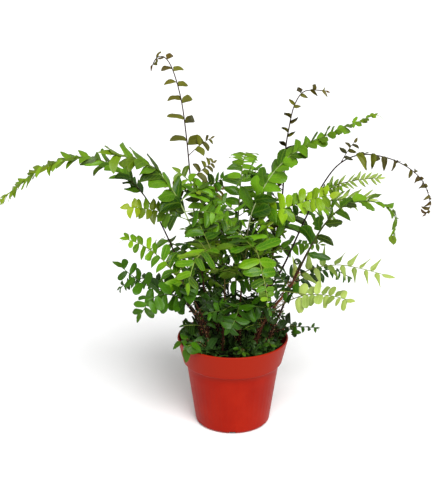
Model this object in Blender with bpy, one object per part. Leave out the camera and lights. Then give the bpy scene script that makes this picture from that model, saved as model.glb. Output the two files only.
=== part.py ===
"""A fern in a nursery pot: the pot, its soil, and every frond as one solid of its own.

Sizes are in millimetres and angles in degrees. The object stands on z = 0 with the pot's axis on
the origin. A frond's azimuth is 0 to the right (+X), 90 to the back (+Y), 180 to the left.
"""
import bpy
from collections import namedtuple
from math import atan2, cos, pi, radians, sin
from mathutils import Matrix, Vector
from mathutils.bvhtree import BVHTree

MM = 0.001
GAP = 0.3                      # clearance between two pieces that meet

# Pot: a thin moulded nursery pot
POT_HEIGHT = 98.0
RIM_RADIUS = 60.0
BAND_FOOT = (53.9, 71.5)       # radius and height where the rim band ends
SHOULDER_FOOT = (49.3, 61.5)   # radius and height where the wall proper begins
BASE_FLAT_RADIUS = 36.5
BASE_ROUND = 4.5               # radius of the rounded bottom edge
ROUND_STEPS = 2                # faces across that edge, and across the lip
WALL = 1.2
INNER_RISE = 0.4               # how far the inner steps of the wall sit up, in wall thicknesses
LIP_RADIUS = 1.0
LIP_ARC = (-20, 200)           # angles of the rounded lip's outer and inner foot
POT_STEPS = 32
DRAIN_COUNT = 6
DRAIN_SIZE = (10.0, 7.0, 3.0)  # along the radius, across it, and up the wall
DRAIN_RADIUS = 39.0

# Soil
SOIL_EDGE = 85.5               # height of the soil at the wall
SOIL_MOUND = 3.5               # how much higher it is in the middle
SOIL_RING = (0.55, 0.6)        # the ring between, as shares of the radius and of that rise
SOIL_ROUGH = 0.8
HOLE_FLOOR = 70.0              # bottom of the holes that the stems stand in

# Fronds: rib and leaflet sizes shared by all
LEAF_DEPTH = 0.7               # thickness of a leaflet's blade
RIB_DEPTH = 0.8                # thickness of a rib against its width
STEM_STEP = 48.0               # longest distance between two rings of a bare stem
STEM_BEND = 15.0               # most that a bare stem turns from one ring to the next
FORK_ROOM = 7.0                # and the least distance between a ring and a fork
LIGHT = Vector((0.0, -0.7, 0.7))
TO_LIGHT = 0.75                # how far the blades at the sides have turned to the light
TRIAL_PAD = 0.35               # how much a trial blade is grown when it looks for a clear place
LARGE_LEAF = 24.0              # leaflets from this length on have four outer corners
SMALL_LEAF = 12.3              # and below this length two
LEAN_CHANGE = 5.0              # how much one leaflet leans unlike another, in degrees
SAG_CHANGE = 0.05              # and how much its end hangs unlike another's
LAST_LEAF = 0.3                # bare tip of a rib, as a share of its last leaflet
LEAF_GRIP = 0.55               # share of its width that a leaflet holds on the rib
FULL_GRIP = 0.70               # from this share of a step on it holds the whole step

# Outer corners of a leaflet as shares of its length and its width: the side towards the
# frond's tip carries the shoulder, the other side runs straight to the rounded end.
CORNERS = {
    4: ((0.70, -0.46), (1.00, -0.08), (0.86, 0.44), (0.18, 0.50)),
    3: ((0.80, -0.42), (0.98, 0.26), (0.20, 0.50)),
    2: ((0.96, -0.20), (0.34, 0.54)),
}

# Colour and roughness of each finish
FINISHES = {
    "pot_red": ((0.52, 0.045, 0.018), 0.38),
    "potting_soil": ((0.020, 0.012, 0.008), 0.95),
    "frond_green": ((0.055, 0.22, 0.020), 0.45),
    "frond_fresh": ((0.16, 0.40, 0.025), 0.45),
    "frond_dark": ((0.022, 0.095, 0.016), 0.45),
    "frond_bronze": ((0.12, 0.10, 0.025), 0.50),
}

# What a frond has unless its own entry says otherwise, and what a pinna has
USUAL = dict(swing=0, stem=(2.2, 1.1), leaves_from=0.5, leaf=(16, 6), spacing=0.62, width=0.50,
             lean=16, sag=0.14, pair=0.0, light=None, pinnae=(), finish="frond_green")
PINNA = dict(stem=(1.2, 0.9), spacing=0.98, width=0.66, lean=14, sag=0.14, pair=0.0)
PINNA_TAPER = 0.5              # its last leaflet against its first
PINNA_STALK = 0.45             # its bare stalk, as a share of its first leaflet
PINNA_FALL = 0.16              # how far its tip hangs, as a share of its length
PINNA_LEVEL = 0.9              # how strongly its blades turn flat

# path: (reach from the pot's axis, height) of points on the stem, from the collar to the tip.
# swing: how far the azimuth turns by the tip. sag: how far a leaflet's end hangs.
# leaf: length of the first and the last leaflet. spacing and width: shares of that length.
# pair: how far each second leaflet moves back to the one before. light: how far the blade turns.
# pinnae: (share of the path, side, length, leaflet, angle off the stem, rise above the blade,
# turn about the stem).
FRONDS = [
    dict(name="frond_tall_left", azimuth=150, stem=(2.4, 1.0), finish="frond_bronze",
         path=[(30, 92), (37, 144), (46, 210), (53, 269), (57, 308), (63, 348), (73, 379),
               (83, 392), (93, 391), (99, 382)],
         leaves_from=0.60, leaf=(19, 7), spacing=1.10, width=0.44, sag=0.10, pair=0.5,
         pinnae=[(0.42, 1, 44, 15, 50, 10), (0.48, -1, 38, 14, 55, 10), (0.53, 1, 34, 12, 50, 12),
                 (0.585, 1, 36, 10, 42, 6)]),
    dict(name="frond_arch_left", azimuth=176, stem=(2.2, 0.9),
         path=[(31, 92), (37, 127), (52, 166), (81, 232), (107, 268), (146, 292), (196, 283),
               (249, 243)],
         leaves_from=0.50, leaf=(17, 6), spacing=0.78, width=0.60, lean=24, light=0.45),
    dict(name="frond_broad_left", azimuth=200, stem=(2.2, 1.2),
         path=[(27, 92), (33, 160), (43, 216), (67, 269), (94, 302), (134, 320)],
         leaves_from=0.60, leaf=(26, 14), spacing=0.54, width=0.46,
         pinnae=[(0.40, 1, 48, 16, 55, 0), (0.56, -1, 72, 13, 50, 0, 76)]),
    dict(name="frond_inner_left", azimuth=166, stem=(2.0, 1.1),
         path=[(16, 92), (20, 160), (26, 212), (38, 256), (58, 276)],
         leaves_from=0.66, leaf=(17, 10), spacing=0.66,
         pinnae=[(0.33, 1, 42, 15, 62, 5), (0.44, -1, 50, 16, 60, 5), (0.56, 1, 46, 16, 58, 5)]),
    dict(name="frond_young_right", azimuth=25, stem=(3.0, 1.0), finish="frond_bronze",
         path=[(31, 92), (42, 150), (49, 196), (57, 246), (60, 298), (64, 324), (69, 344),
               (78, 357), (90, 359), (106, 357)],
         leaves_from=0.66, leaf=(10, 9), spacing=1.90, width=0.46, lean=40, sag=0.25,
         pinnae=[(0.38, -1, 44, 15, 55, 0), (0.47, 1, 86, 13, 48, 0), (0.55, -1, 40, 9, 60, 5)]),
    dict(name="frond_rising_right", azimuth=345, stem=(2.2, 1.0),
         path=[(11, 92), (9, 150), (17, 226), (29, 260), (48, 290), (78, 315), (141, 347)],
         leaves_from=0.46, leaf=(24, 7), spacing=0.80, width=0.54, light=0.9,
         pinnae=[(0.22, 1, 44, 15, 62, 5), (0.30, -1, 50, 16, 55, 5), (0.37, 1, 54, 16, 60, 5)]),
    dict(name="frond_arch_right", azimuth=8, stem=(2.4, 0.8), finish="frond_bronze",
         path=[(17, 92), (32, 138), (53, 173), (77, 228), (95, 265), (113, 287), (138, 295),
               (172, 287), (200, 267), (212, 240), (208, 228)],
         leaves_from=0.62, leaf=(15, 5), spacing=1.20, width=0.48, sag=0.60, light=0.5,
         pinnae=[(0.30, 1, 50, 15, 55, 5), (0.47, 1, 80, 14, 30, 4), (0.60, -1, 24, 9, 45, 20)]),
    dict(name="frond_stout_right", azimuth=330, stem=(3.0, 1.0),
         path=[(28, 92), (36, 118), (52, 144), (69, 169), (87, 208), (106, 242), (128, 264),
               (156, 271), (177, 262), (178, 240)],
         leaves_from=0.44, leaf=(24, 8), spacing=0.86, width=0.54, light=1.0),
    dict(name="frond_feather_right", azimuth=350, stem=(1.9, 1.0), finish="frond_fresh",
         path=[(27, 92), (34, 120), (51, 148), (76, 176), (107, 186), (134, 184), (157, 179)],
         leaves_from=0.50, leaf=(19, 8), spacing=0.74, width=0.44, light=1.0),
    dict(name="frond_pale_right", azimuth=325, stem=(1.8, 1.0), finish="frond_fresh",
         path=[(27, 92), (34, 116), (60, 146), (89, 165), (117, 172), (141, 173)],
         leaves_from=0.52, leaf=(14, 8), spacing=0.70, width=0.50, lean=4, light=1.0),
    dict(name="frond_small_right", azimuth=343, stem=(1.6, 0.9), finish="frond_dark",
         path=[(37, 92), (44, 106), (62, 116), (91, 119)],
         leaves_from=0.45, leaf=(9, 5), spacing=0.95, width=0.56),
    dict(name="frond_low_left", azimuth=205, stem=(2.0, 1.0), finish="frond_fresh",
         path=[(28, 92), (35, 123), (52, 158), (67, 179), (83, 199), (103, 216), (119, 224)],
         leaves_from=0.46, leaf=(17, 8), spacing=0.62, light=0.8),
    dict(name="frond_dark_left", azimuth=194, stem=(2.0, 1.0), finish="frond_dark",
         path=[(33, 92), (40, 120), (52, 140), (70, 154), (90, 162), (108, 174), (126, 188)],
         leaves_from=0.42, leaf=(17, 9), spacing=0.74, width=0.60, light=0.85),
    dict(name="frond_drooping_left", azimuth=217, stem=(2.0, 1.0), finish="frond_dark",
         path=[(33, 92), (40, 118), (56, 144), (80, 158), (104, 156), (118, 138)],
         leaves_from=0.42, leaf=(17, 9), spacing=0.78, width=0.54, light=0.7),
    dict(name="frond_near_left", azimuth=246, stem=(2.0, 1.2), finish="frond_fresh",
         path=[(27, 92), (22, 140), (23, 178), (36, 203), (62, 214), (86, 214), (98, 206),
               (105, 193)],
         leaves_from=0.56, leaf=(28, 13), spacing=0.50, width=0.40,
         pinnae=[(0.34, 1, 40, 15, 60, 5), (0.44, -1, 44, 16, 55, 5)]),
    dict(name="frond_near_bright", azimuth=292, stem=(2.0, 1.1), finish="frond_fresh",
         path=[(18, 92), (21, 150), (32, 196), (46, 215), (61, 215), (71, 205), (79, 193),
               (87, 182), (92, 169)],
         leaves_from=0.70, leaf=(20, 6), spacing=0.62, width=0.54,
         pinnae=[(0.42, 1, 48, 16, 60, 0), (0.50, -1, 44, 15, 60, 0)]),
    dict(name="frond_crown_back", azimuth=82, stem=(2.2, 1.1),
         path=[(14, 92), (22, 150), (34, 208), (52, 250), (78, 274), (106, 276)],
         leaves_from=0.64, leaf=(18, 10), spacing=0.70,
         pinnae=[(0.33, -1, 46, 16, 60, 5), (0.42, 1, 56, 17, 58, 5), (0.49, -1, 56, 17, 58, 5),
                 (0.58, 1, 44, 15, 52, 8)]),
    dict(name="frond_back_right", azimuth=48, stem=(2.2, 1.1),
         path=[(26, 92), (44, 146), (74, 190), (112, 214), (150, 210), (178, 190)],
         leaves_from=0.54, leaf=(20, 10), spacing=0.82, width=0.58,
         pinnae=[(0.36, -1, 54, 17, 58, 5), (0.44, 1, 54, 17, 58, 5)]),
    dict(name="frond_back", azimuth=98, stem=(2.2, 1.1),
         path=[(25, 92), (42, 142), (72, 184), (112, 204), (154, 192), (180, 168)],
         leaves_from=0.54, leaf=(20, 10), spacing=0.82, width=0.58,
         pinnae=[(0.35, 1, 54, 17, 58, 5), (0.44, -1, 52, 17, 58, 5)]),
    dict(name="frond_back_left", azimuth=130, stem=(2.0, 1.1),
         path=[(27, 92), (44, 132), (76, 166), (116, 176), (152, 158)],
         leaves_from=0.50, leaf=(19, 10), spacing=0.82, width=0.58,
         pinnae=[(0.34, -1, 46, 16, 60, 5), (0.42, 1, 46, 16, 60, 5)]),
    dict(name="frond_side_left", azimuth=160, stem=(2.0, 1.0), finish="frond_dark",
         path=[(35, 92), (48, 122), (76, 146), (110, 150), (134, 136)],
         leaves_from=0.44, leaf=(15, 8), spacing=0.72),
    dict(name="frond_side_right", azimuth=24, stem=(2.0, 1.0), finish="frond_dark",
         path=[(35, 92), (50, 124), (80, 150), (116, 158), (142, 146)],
         leaves_from=0.44, leaf=(16, 8), spacing=0.72),
    dict(name="frond_front", azimuth=287, swing=-16, stem=(1.9, 1.1),
         path=[(16, 92), (20, 120), (31, 144), (46, 144), (57, 135), (64, 124)],
         leaves_from=0.52, leaf=(23, 12), spacing=0.56, width=0.52),
    dict(name="sprig_left", azimuth=208, stem=(1.5, 0.9), finish="frond_dark",
         path=[(44, 92), (48, 99), (57, 105), (66, 102)],
         leaves_from=0.28, leaf=(12, 8), spacing=0.78, width=0.62),
    dict(name="sprig_near_left", azimuth=236, stem=(1.5, 0.9), finish="frond_dark",
         path=[(40, 92), (44, 100), (56, 107), (70, 102)],
         leaves_from=0.30, leaf=(12, 8), spacing=0.78, width=0.62),
    dict(name="sprig_front", azimuth=283, stem=(1.5, 0.9), finish="frond_dark",
         path=[(36, 92), (40, 98), (50, 103), (62, 101)],
         leaves_from=0.30, leaf=(10, 7), spacing=0.80, width=0.62),
    dict(name="sprig_near_right", azimuth=318, stem=(1.5, 0.9), finish="frond_dark",
         path=[(38, 92), (42, 99), (54, 106), (68, 104)],
         leaves_from=0.30, leaf=(12, 8), spacing=0.78, width=0.62),
    dict(name="sprig_right", azimuth=4, stem=(1.5, 0.9), finish="frond_dark",
         path=[(42, 92), (46, 99), (56, 105), (68, 102)],
         leaves_from=0.30, leaf=(11, 7), spacing=0.78, width=0.62),
    dict(name="sprig_back_right", azimuth=68, stem=(1.5, 0.9), finish="frond_dark",
         path=[(40, 92), (46, 104), (62, 114), (82, 110)],
         leaves_from=0.34, leaf=(13, 8), spacing=0.78, width=0.62),
    dict(name="sprig_back_left", azimuth=114, stem=(1.5, 0.9), finish="frond_dark",
         path=[(40, 92), (46, 104), (62, 114), (82, 110)],
         leaves_from=0.34, leaf=(13, 8), spacing=0.78, width=0.62),
]

# The young frond that is still rolled up: a stem and a coil on top of it
FIDDLEHEAD = dict(name="fiddlehead", azimuth=335, stem=(2.6, 1.2),
                  path=[(38, 92), (46, 112), (58, 142), (68, 170), (76, 192)])
COIL_TURNS = 1.1
COIL_RADIUS = (3.9, 1.5)       # at the start and the end of the coil
COIL_STEPS = 16

# Changes tried in turn until a piece is clear of all that is already placed
STEM_TURNS = (0, 2, -2, 4, -4, 6, -6, 8, -8, 10, -10, 13, -13, 16, -16, 20, -20)
PINNA_TURNS = (0, 12, -12, 24, -24, 36, -36, 50, -50)
PINNA_ANGLES = (0, -14, 14)
PINNA_LENGTHS = (1.0, 0.75, 0.5)

Station = namedtuple("Station", "place along side up width")
Blade = namedtuple("Blade", "side length number")


def empty_file():
    for thing in list(bpy.data.objects):
        bpy.data.objects.remove(thing, do_unlink=True)


def finish_material(name):
    material = bpy.data.materials.get(name)
    if material is None:
        colour, roughness = FINISHES[name]
        material = bpy.data.materials.new(name)
        material.use_nodes = True
        shader = material.node_tree.nodes["Principled BSDF"]
        shader.inputs["Base Color"].default_value = (*colour, 1.0)
        shader.inputs["Roughness"].default_value = roughness
        shader.inputs["Metallic"].default_value = 0.0
    return material


def add_object(name, corners, faces, finish):
    """A mesh object from corners in millimetres."""
    mesh = bpy.data.meshes.new(name)
    mesh.from_pydata([Vector(corner) * MM for corner in corners], [], faces)
    mesh.update()
    mesh.materials.append(finish_material(finish))
    thing = bpy.data.objects.new(name, mesh)
    bpy.context.scene.collection.objects.link(thing)
    return thing


def join_by_boolean(thing, others, operation):
    """Applies one Boolean of the others, as a collection, and removes them."""
    group = bpy.data.collections.new(thing.name + "_operands")
    bpy.context.scene.collection.children.link(group)
    for other in others:
        group.objects.link(other)
        bpy.context.scene.collection.objects.unlink(other)
    boolean = thing.modifiers.new(operation.title(), "BOOLEAN")
    boolean.operation = operation
    boolean.operand_type = "COLLECTION"
    boolean.collection = group
    boolean.solver = "EXACT"
    graph = bpy.context.evaluated_depsgraph_get()
    result = bpy.data.meshes.new_from_object(thing.evaluated_get(graph))
    thing.modifiers.clear()
    thing.data = result
    for other in others:
        bpy.data.objects.remove(other, do_unlink=True)
    bpy.data.collections.remove(group)


def tree_of(corners, faces):
    return BVHTree.FromPolygons([Vector(corner) for corner in corners], faces)


def turned(outline, steps, lift=None):
    """Corners and faces of a solid of revolution whose outline starts and ends on the axis."""
    corners = [(0.0, 0.0, outline[0][1])]
    for radius, height in outline[1:-1]:
        for step in range(steps):
            angle = 2 * pi * step / steps
            extra = lift(radius, height, angle) if lift else 0.0
            corners.append((radius * cos(angle), radius * sin(angle), height + extra))
    corners.append((0.0, 0.0, outline[-1][1]))
    last = len(corners) - 1
    rings = len(outline) - 2
    faces = []
    for step in range(steps):
        after = (step + 1) % steps
        faces.append((0, 1 + after, 1 + step))
        for ring in range(rings - 1):
            low = 1 + ring * steps
            high = low + steps
            faces.append((low + step, low + after, high + after))
            faces.append((low + step, high + after, high + step))
        top = 1 + (rings - 1) * steps
        faces.append((top + step, top + after, last))
    return corners, faces


def arc(centre, radius, start, end, steps):
    """Points of an arc in the outline's plane, from one angle to another."""
    points = []
    for step in range(steps + 1):
        angle = radians(start + (end - start) * step / steps)
        points.append((centre[0] + radius * cos(angle), centre[1] + radius * sin(angle)))
    return points


def wall_line(inset):
    """The pot's wall from the rounded bottom edge to under the lip, moved inwards."""
    bottom = arc((BASE_FLAT_RADIUS, BASE_ROUND), BASE_ROUND - inset, -90, 0, ROUND_STEPS)
    upper = [(radius - inset, height + inset * INNER_RISE)
             for radius, height in (SHOULDER_FOOT, BAND_FOOT)]
    return bottom + upper


def lip_line():
    """The rounded lip, from its outer foot to its inner foot."""
    centre = (RIM_RADIUS - LIP_RADIUS, POT_HEIGHT - LIP_RADIUS)
    return arc(centre, LIP_RADIUS, *LIP_ARC, ROUND_STEPS)


def make_pot():
    outside = [(0.0, 0.0)] + wall_line(0.0)
    lip = lip_line()
    inside = list(reversed(wall_line(WALL))) + [(0.0, WALL)]
    corners, faces = turned(outside + lip + inside, POT_STEPS)
    pot = add_object("pot", corners, faces, "pot_red")
    cutters = [drain_cutter(index) for index in range(DRAIN_COUNT)]
    join_by_boolean(pot, cutters, "DIFFERENCE")
    set_round_shading(pot)
    return corners, faces


def box(size, place, turn):
    """Corners and faces of a box centred on a place, turned about z."""
    corners = []
    for z in (-0.5, 0.5):
        for x, y in ((-0.5, -0.5), (0.5, -0.5), (0.5, 0.5), (-0.5, 0.5)):
            corner = Vector((x * size[0], y * size[1], z * size[2]))
            corners.append(Vector(place) + Matrix.Rotation(turn, 3, "Z") @ corner)
    faces = [(0, 2, 1), (0, 3, 2), (4, 5, 6), (4, 6, 7)]
    for near, far in ((0, 1), (1, 2), (2, 3), (3, 0)):
        faces += [(near, far, far + 4), (near, far + 4, near + 4)]
    return corners, faces


def drain_cutter(index):
    """A box that cuts one drain notch through the pot's bottom edge."""
    angle = 2 * pi * (index + 0.5) / DRAIN_COUNT
    place = (DRAIN_RADIUS * cos(angle), DRAIN_RADIUS * sin(angle), 0.0)
    size = (DRAIN_SIZE[0], DRAIN_SIZE[1], 2 * DRAIN_SIZE[2])
    corners, faces = box(size, place, angle)
    return add_object(f"drain_cutter_{index}", corners, faces, "pot_red")


def set_round_shading(thing):
    thing.data.shade_smooth()
    thing.data.set_sharp_from_angle(angle=radians(35))


def soil_surface(radius, height, angle):
    """Unevenness of the soil's top; its sides and bottom stay true."""
    if height < SOIL_EDGE - 0.1:
        return 0.0
    return SOIL_ROUGH * sin(3 * angle + 0.12 * radius) * cos(2 * angle - 0.07 * radius)


def make_soil(holes):
    inset = WALL + GAP
    side = wall_line(inset)
    floor = side[0][1]
    low, high = wall_line(WALL)[-1], lip_line()[-1]
    share = (SOIL_EDGE - low[1]) / (high[1] - low[1])
    edge = low[0] + (high[0] - low[0]) * share - GAP
    ring, rise = SOIL_RING
    top = [(edge, SOIL_EDGE), (edge * ring, SOIL_EDGE + SOIL_MOUND * rise)]
    outline = [(0.0, floor)] + side + top + [(0.0, SOIL_EDGE + SOIL_MOUND)]
    corners, faces = turned(outline, POT_STEPS, soil_surface)
    soil = add_object("soil", corners, faces, "potting_soil")
    join_by_boolean(soil, holes, "DIFFERENCE")
    return corners, faces


def smooth_path(path, steps=10):
    """A Catmull-Rom curve through the points of a path."""
    ends = [path[0]] + list(path) + [path[-1]]
    points = []
    for index in range(len(path) - 1):
        a, b, c, d = (Vector(point) for point in ends[index:index + 4])
        for step in range(steps):
            t = step / steps
            points.append(0.5 * (2 * b + (c - a) * t + (2 * a - 5 * b + 4 * c - d) * t * t
                                 + (3 * b - a - 3 * c + d) * t ** 3))
    points.append(Vector(path[-1]))
    return points


def frond_course(frond, turn):
    """Points in space along a frond's stem, above its foot."""
    flat = smooth_path(frond["path"])
    points = []
    for index, (reach, height) in enumerate(flat):
        share = index / (len(flat) - 1)
        azimuth = radians(frond["azimuth"] + turn + frond["swing"] * share ** 2)
        points.append(Vector((reach * cos(azimuth), reach * sin(azimuth), height)))
    return points


def course_length(points):
    return sum((after - before).length for before, after in zip(points, points[1:]))


def point_along(points, distance):
    """The place at a distance along a course."""
    left = max(distance, 0.0)
    for before, after in zip(points, points[1:]):
        step = (after - before).length
        if left <= step:
            return before.lerp(after, left / step)
        left -= step
    return points[-1].copy()


def way_along(points, distance):
    """The direction of a course at a distance along it."""
    ahead = point_along(points, distance + 1.5)
    return (ahead - point_along(points, distance - 1.5)).normalized()


def station_at(points, distance, side, to_light, width):
    """A ring of the rib: its place and its own directions, turned part of the way to the light."""
    along = way_along(points, distance)
    up = side.cross(along).normalized()
    if to_light:
        light = LIGHT - along * LIGHT.dot(along)
        angle = atan2(along.dot(up.cross(light)), up.dot(light))
        up = Matrix.Rotation(angle * to_light, 3, along) @ up
    return Station(point_along(points, distance), along, along.cross(up), up, width)


def leaflet_run(frond, length, start):
    """Where each leaflet sits: (start, end, Blade), alternating from side to side."""
    first, last = frond["leaf"]
    run = []
    distance = start
    side = 1
    while True:
        share = (distance - start) / (length - start)
        leaf = first + (last - first) * share
        step = frond["spacing"] * leaf / 2
        grip = LEAF_GRIP * frond["width"] * leaf
        if grip > FULL_GRIP * step:
            grip = step
        if distance + grip > length - LAST_LEAF * last:
            return run
        run.append((distance, distance + grip, Blade(side, leaf, len(run))))
        distance += step * (1 - frond["pair"] * side)
        side = -side


def spray(frond, points, side, start, rings, to_light=0.0):
    """Stations along a rib, and the blade on the segment after each station, if any."""
    length = course_length(points)
    base_width, tip_width = frond["stem"]
    distances = list(rings)
    blades = [None] * len(rings)
    for begin, end, blade in leaflet_run(frond, length, start):
        if begin - distances[-1] > 0.2:
            distances.append(begin)
            blades.append(None)
        blades[-1] = blade
        distances.append(end)
        blades.append(None)
    if length - distances[-1] < 1.0:
        distances[-1] = length
    else:
        distances.append(length)
        blades.append(None)
    stations = []
    for distance in distances:
        width = base_width + (tip_width - base_width) * min(distance / length, 1.0)
        turned_share = to_light * min(distance / start, 1.0)
        stations.append(station_at(points, distance, side, turned_share, width))
    return stations, blades


def outer_corners(frond, near, far, blade, pad):
    """The leaflet's outer corners, for the blade between two stations."""
    count = 4 if blade.length >= LARGE_LEAF else 3 if blade.length >= SMALL_LEAF else 2
    lean = radians(frond["lean"] + LEAN_CHANGE * sin(2.4 * blade.number))
    sag = frond["sag"] + SAG_CHANGE * sin(1.7 * blade.number)
    middle = (near.place + far.place) / 2
    along = (near.along + far.along).normalized()
    out = (near.side + far.side).normalized() * blade.side
    up = (near.up + far.up).normalized()
    root = middle + out * near.width / 2
    reach_way = out * cos(lean) + along * sin(lean)
    width_way = along * cos(lean) - out * sin(lean)
    width = frond["width"] * blade.length
    corners = []
    for x, y in CORNERS[count]:
        drop = sag * blade.length * x * x
        grown_x = x * blade.length + pad * (1 if x > 0.5 else 0)
        grown_y = y * width + pad * (1 if y > 0 else -1)
        corners.append(root + reach_way * grown_x + width_way * grown_y - up * drop)
    return corners, up


def blade_triangles(first, last, outer):
    """One face of a leaflet, split the same way above and below."""
    ring = [first] + outer + [last]
    if len(outer) == 2:
        picks = ((0, 1, 2), (0, 2, 3))
    elif len(outer) == 3:
        picks = ((0, 1, 3), (0, 3, 4), (1, 2, 3))
    else:
        picks = ((0, 1, 4), (0, 4, 5), (1, 3, 4), (1, 2, 3))
    return [tuple(ring[pick] for pick in triangle) for triangle in picks]


def spray_mesh(frond, stations, blades, pad=0.0):
    """A rib of four corners at each station, with leaflets grown from its sides."""
    corners = []
    for station in stations:
        wide = station.side * (station.width / 2 + pad)
        deep = station.up * (station.width * RIB_DEPTH / 2 + pad)
        corners += [station.place - wide + deep, station.place + wide + deep,
                    station.place + wide - deep, station.place - wide - deep]
    faces = [(0, 3, 2), (0, 2, 1)]
    for index in range(len(stations) - 1):
        blade = blades[index]
        near = 4 * index
        far = near + 4
        for edge in range(4):
            if blade and edge == (1 if blade.side > 0 else 3):
                continue
            turn = (edge + 1) % 4
            faces += [(near + edge, near + turn, far + turn), (near + edge, far + turn, far + edge)]
        if blade:
            grow_blade(frond, corners, faces, stations, index, blade, pad)
    end = 4 * (len(stations) - 1)
    faces += [(end, end + 1, end + 2), (end, end + 2, end + 3)]
    return corners, faces


def grow_blade(frond, corners, faces, stations, index, blade, pad):
    """Adds the leaflet on one side of the segment after a station."""
    outer, up = outer_corners(frond, stations[index], stations[index + 1], blade, pad)
    top_corner, low_corner = (1, 2) if blade.side > 0 else (0, 3)
    near = 4 * index
    far = near + 4
    half = LEAF_DEPTH / 2 + pad
    tops = list(range(len(corners), len(corners) + len(outer)))
    corners += [corner + up * half for corner in outer]
    lows = list(range(len(corners), len(corners) + len(outer)))
    corners += [corner - up * half for corner in outer]
    ring_top = [near + top_corner] + tops + [far + top_corner]
    ring_low = [near + low_corner] + lows + [far + low_corner]
    added = blade_triangles(ring_top[0], ring_top[-1], tops)
    for a, b, c in blade_triangles(ring_low[0], ring_low[-1], lows):
        added.append((a, c, b))
    for step in range(len(ring_top) - 1):
        top, next_top = ring_top[step], ring_top[step + 1]
        low, next_low = ring_low[step], ring_low[step + 1]
        added += [(top, low, next_low), (top, next_low, next_top)]
    for a, b, c in added:
        faces.append((a, b, c) if blade.side > 0 else (a, c, b))


def is_clear(corners, faces, trees):
    trial = tree_of(corners, faces)
    return not any(trial.overlap(tree) for tree in trees)


def foot_station(station):
    """The lower end of a stem's straight foot, down in its hole."""
    foot = Vector((station.place.x, station.place.y, HOLE_FLOOR + GAP))
    return station._replace(place=foot)


def stem_rings(points, start, forks):
    """Distances of a bare stem's rings: one at each fork, and more where it bends."""
    rings = [0.0]
    last_way = way_along(points, 0.0)
    for distance in range(2, int(start) - 1):
        way = way_along(points, distance)
        bent = way.angle(last_way) > radians(STEM_BEND)
        if bent or distance - rings[-1] > STEM_STEP:
            rings.append(float(distance))
            last_way = way
    room = min(FORK_ROOM, start / 12)
    kept = [ring for ring in rings[1:] if all(abs(ring - fork) > room for fork in forks)]
    return [0.0] + sorted(kept + forks) + [start]


def stem_spray(frond, turn):
    """The stem and its own leaflets at a turn of the azimuth: stations, blades and course."""
    points = frond_course(frond, turn)
    azimuth = radians(frond["azimuth"] + turn + frond["swing"] / 2)
    side = Vector((sin(azimuth), -cos(azimuth), 0.0))
    length = course_length(points)
    start = frond["leaves_from"] * length
    rings = stem_rings(points, start, [pinna[0] * length for pinna in frond["pinnae"]])
    to_light = frond["light"]
    if to_light is None:
        to_light = TO_LIGHT * min(1.0, 1.0 + sin(azimuth))
    stations, blades = spray(frond, points, side, start, rings, to_light)
    upright = Vector((0.0, 0.0, 1.0))
    root_side = Vector((sin(azimuth), -cos(azimuth), 0.0))
    root = Station(stations[0].place, upright, root_side, root_side.cross(upright),
                   stations[0].width)
    stations[0] = root
    return [foot_station(root)] + stations, [None] + blades, points


def place_stem(frond, trees):
    """The first turn of the stem that touches nothing."""
    for turn in STEM_TURNS:
        stations, blades, points = stem_spray(frond, turn)
        trial = spray_mesh(frond, stations, blades, TRIAL_PAD)
        if is_clear(*trial, trees):
            if turn:
                print(f"{frond['name']} turned {turn}")
            return stations, blades, points
    raise ValueError(f"{frond['name']} finds no clear place")


def pinna_course(root, way, length):
    """A gently drooping curve from a root in a direction."""
    bend = root + way * length / 2
    tip = root + way * length + Vector((0.0, 0.0, -PINNA_FALL * length))
    points = []
    for step in range(13):
        t = step / 12
        points.append(root * (1 - t) ** 2 + bend * 2 * t * (1 - t) + tip * t * t)
    return points


def fork_station(stations, points, share):
    """The ring of the stem at a share of its length."""
    place = point_along(points, share * course_length(points))
    return min(stations, key=lambda station: (station.place - place).length)


def pinna_spray(points, stem, pinna, turn, angle_change, scale):
    """A side pinna: its settings, stations and blades."""
    share, hand, length, leaf, angle, rise, own_turn = (*pinna, 0)[:7]
    settings = dict(PINNA, leaf=(leaf, PINNA_TAPER * leaf))
    base = fork_station(stem, points, share)
    off = radians(angle + angle_change)
    way = base.along * cos(off) + base.side * hand * sin(off)
    way = (way + base.up * sin(radians(rise))).normalized()
    way = Matrix.Rotation(radians(turn + own_turn) * hand, 3, base.along) @ way
    course = pinna_course(base.place, way, length * scale)
    face = (base.up + Vector((0.0, 0.0, PINNA_LEVEL))).normalized()
    pinna_side = way.cross(face).normalized()
    stalk = PINNA_STALK * leaf
    stations, blades = spray(settings, course, pinna_side, stalk, [0.0, stalk])
    return settings, stations, blades


def place_pinna(points, stem, pinna, own, trees):
    """The first form of a pinna that touches nothing, or None."""
    for scale in PINNA_LENGTHS:
        for angle_change in PINNA_ANGLES:
            for turn in PINNA_TURNS:
                settings, stations, blades = pinna_spray(points, stem, pinna, turn, angle_change,
                                                         scale)
                whole = spray_mesh(settings, stations, blades, TRIAL_PAD)
                if not is_clear(*whole, trees):
                    continue
                free = spray_mesh(settings, stations[1:], blades[1:], TRIAL_PAD)
                if is_clear(*free, own):
                    return spray_mesh(settings, stations, blades)
    return None


def hole_cutter(frond, station):
    """A square hole round a stem's foot."""
    size = station.width + 2 * GAP
    depth = size * RIB_DEPTH + 2 * GAP * (1 - RIB_DEPTH)
    height = POT_HEIGHT - HOLE_FLOOR
    turn = station.side.to_2d().angle_signed(Vector((1.0, 0.0)))
    place = (station.place.x, station.place.y, HOLE_FLOOR + height / 2)
    corners, faces = box((size, depth, height), place, turn)
    return add_object(frond["name"] + "_hole", corners, faces, "potting_soil")


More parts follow.
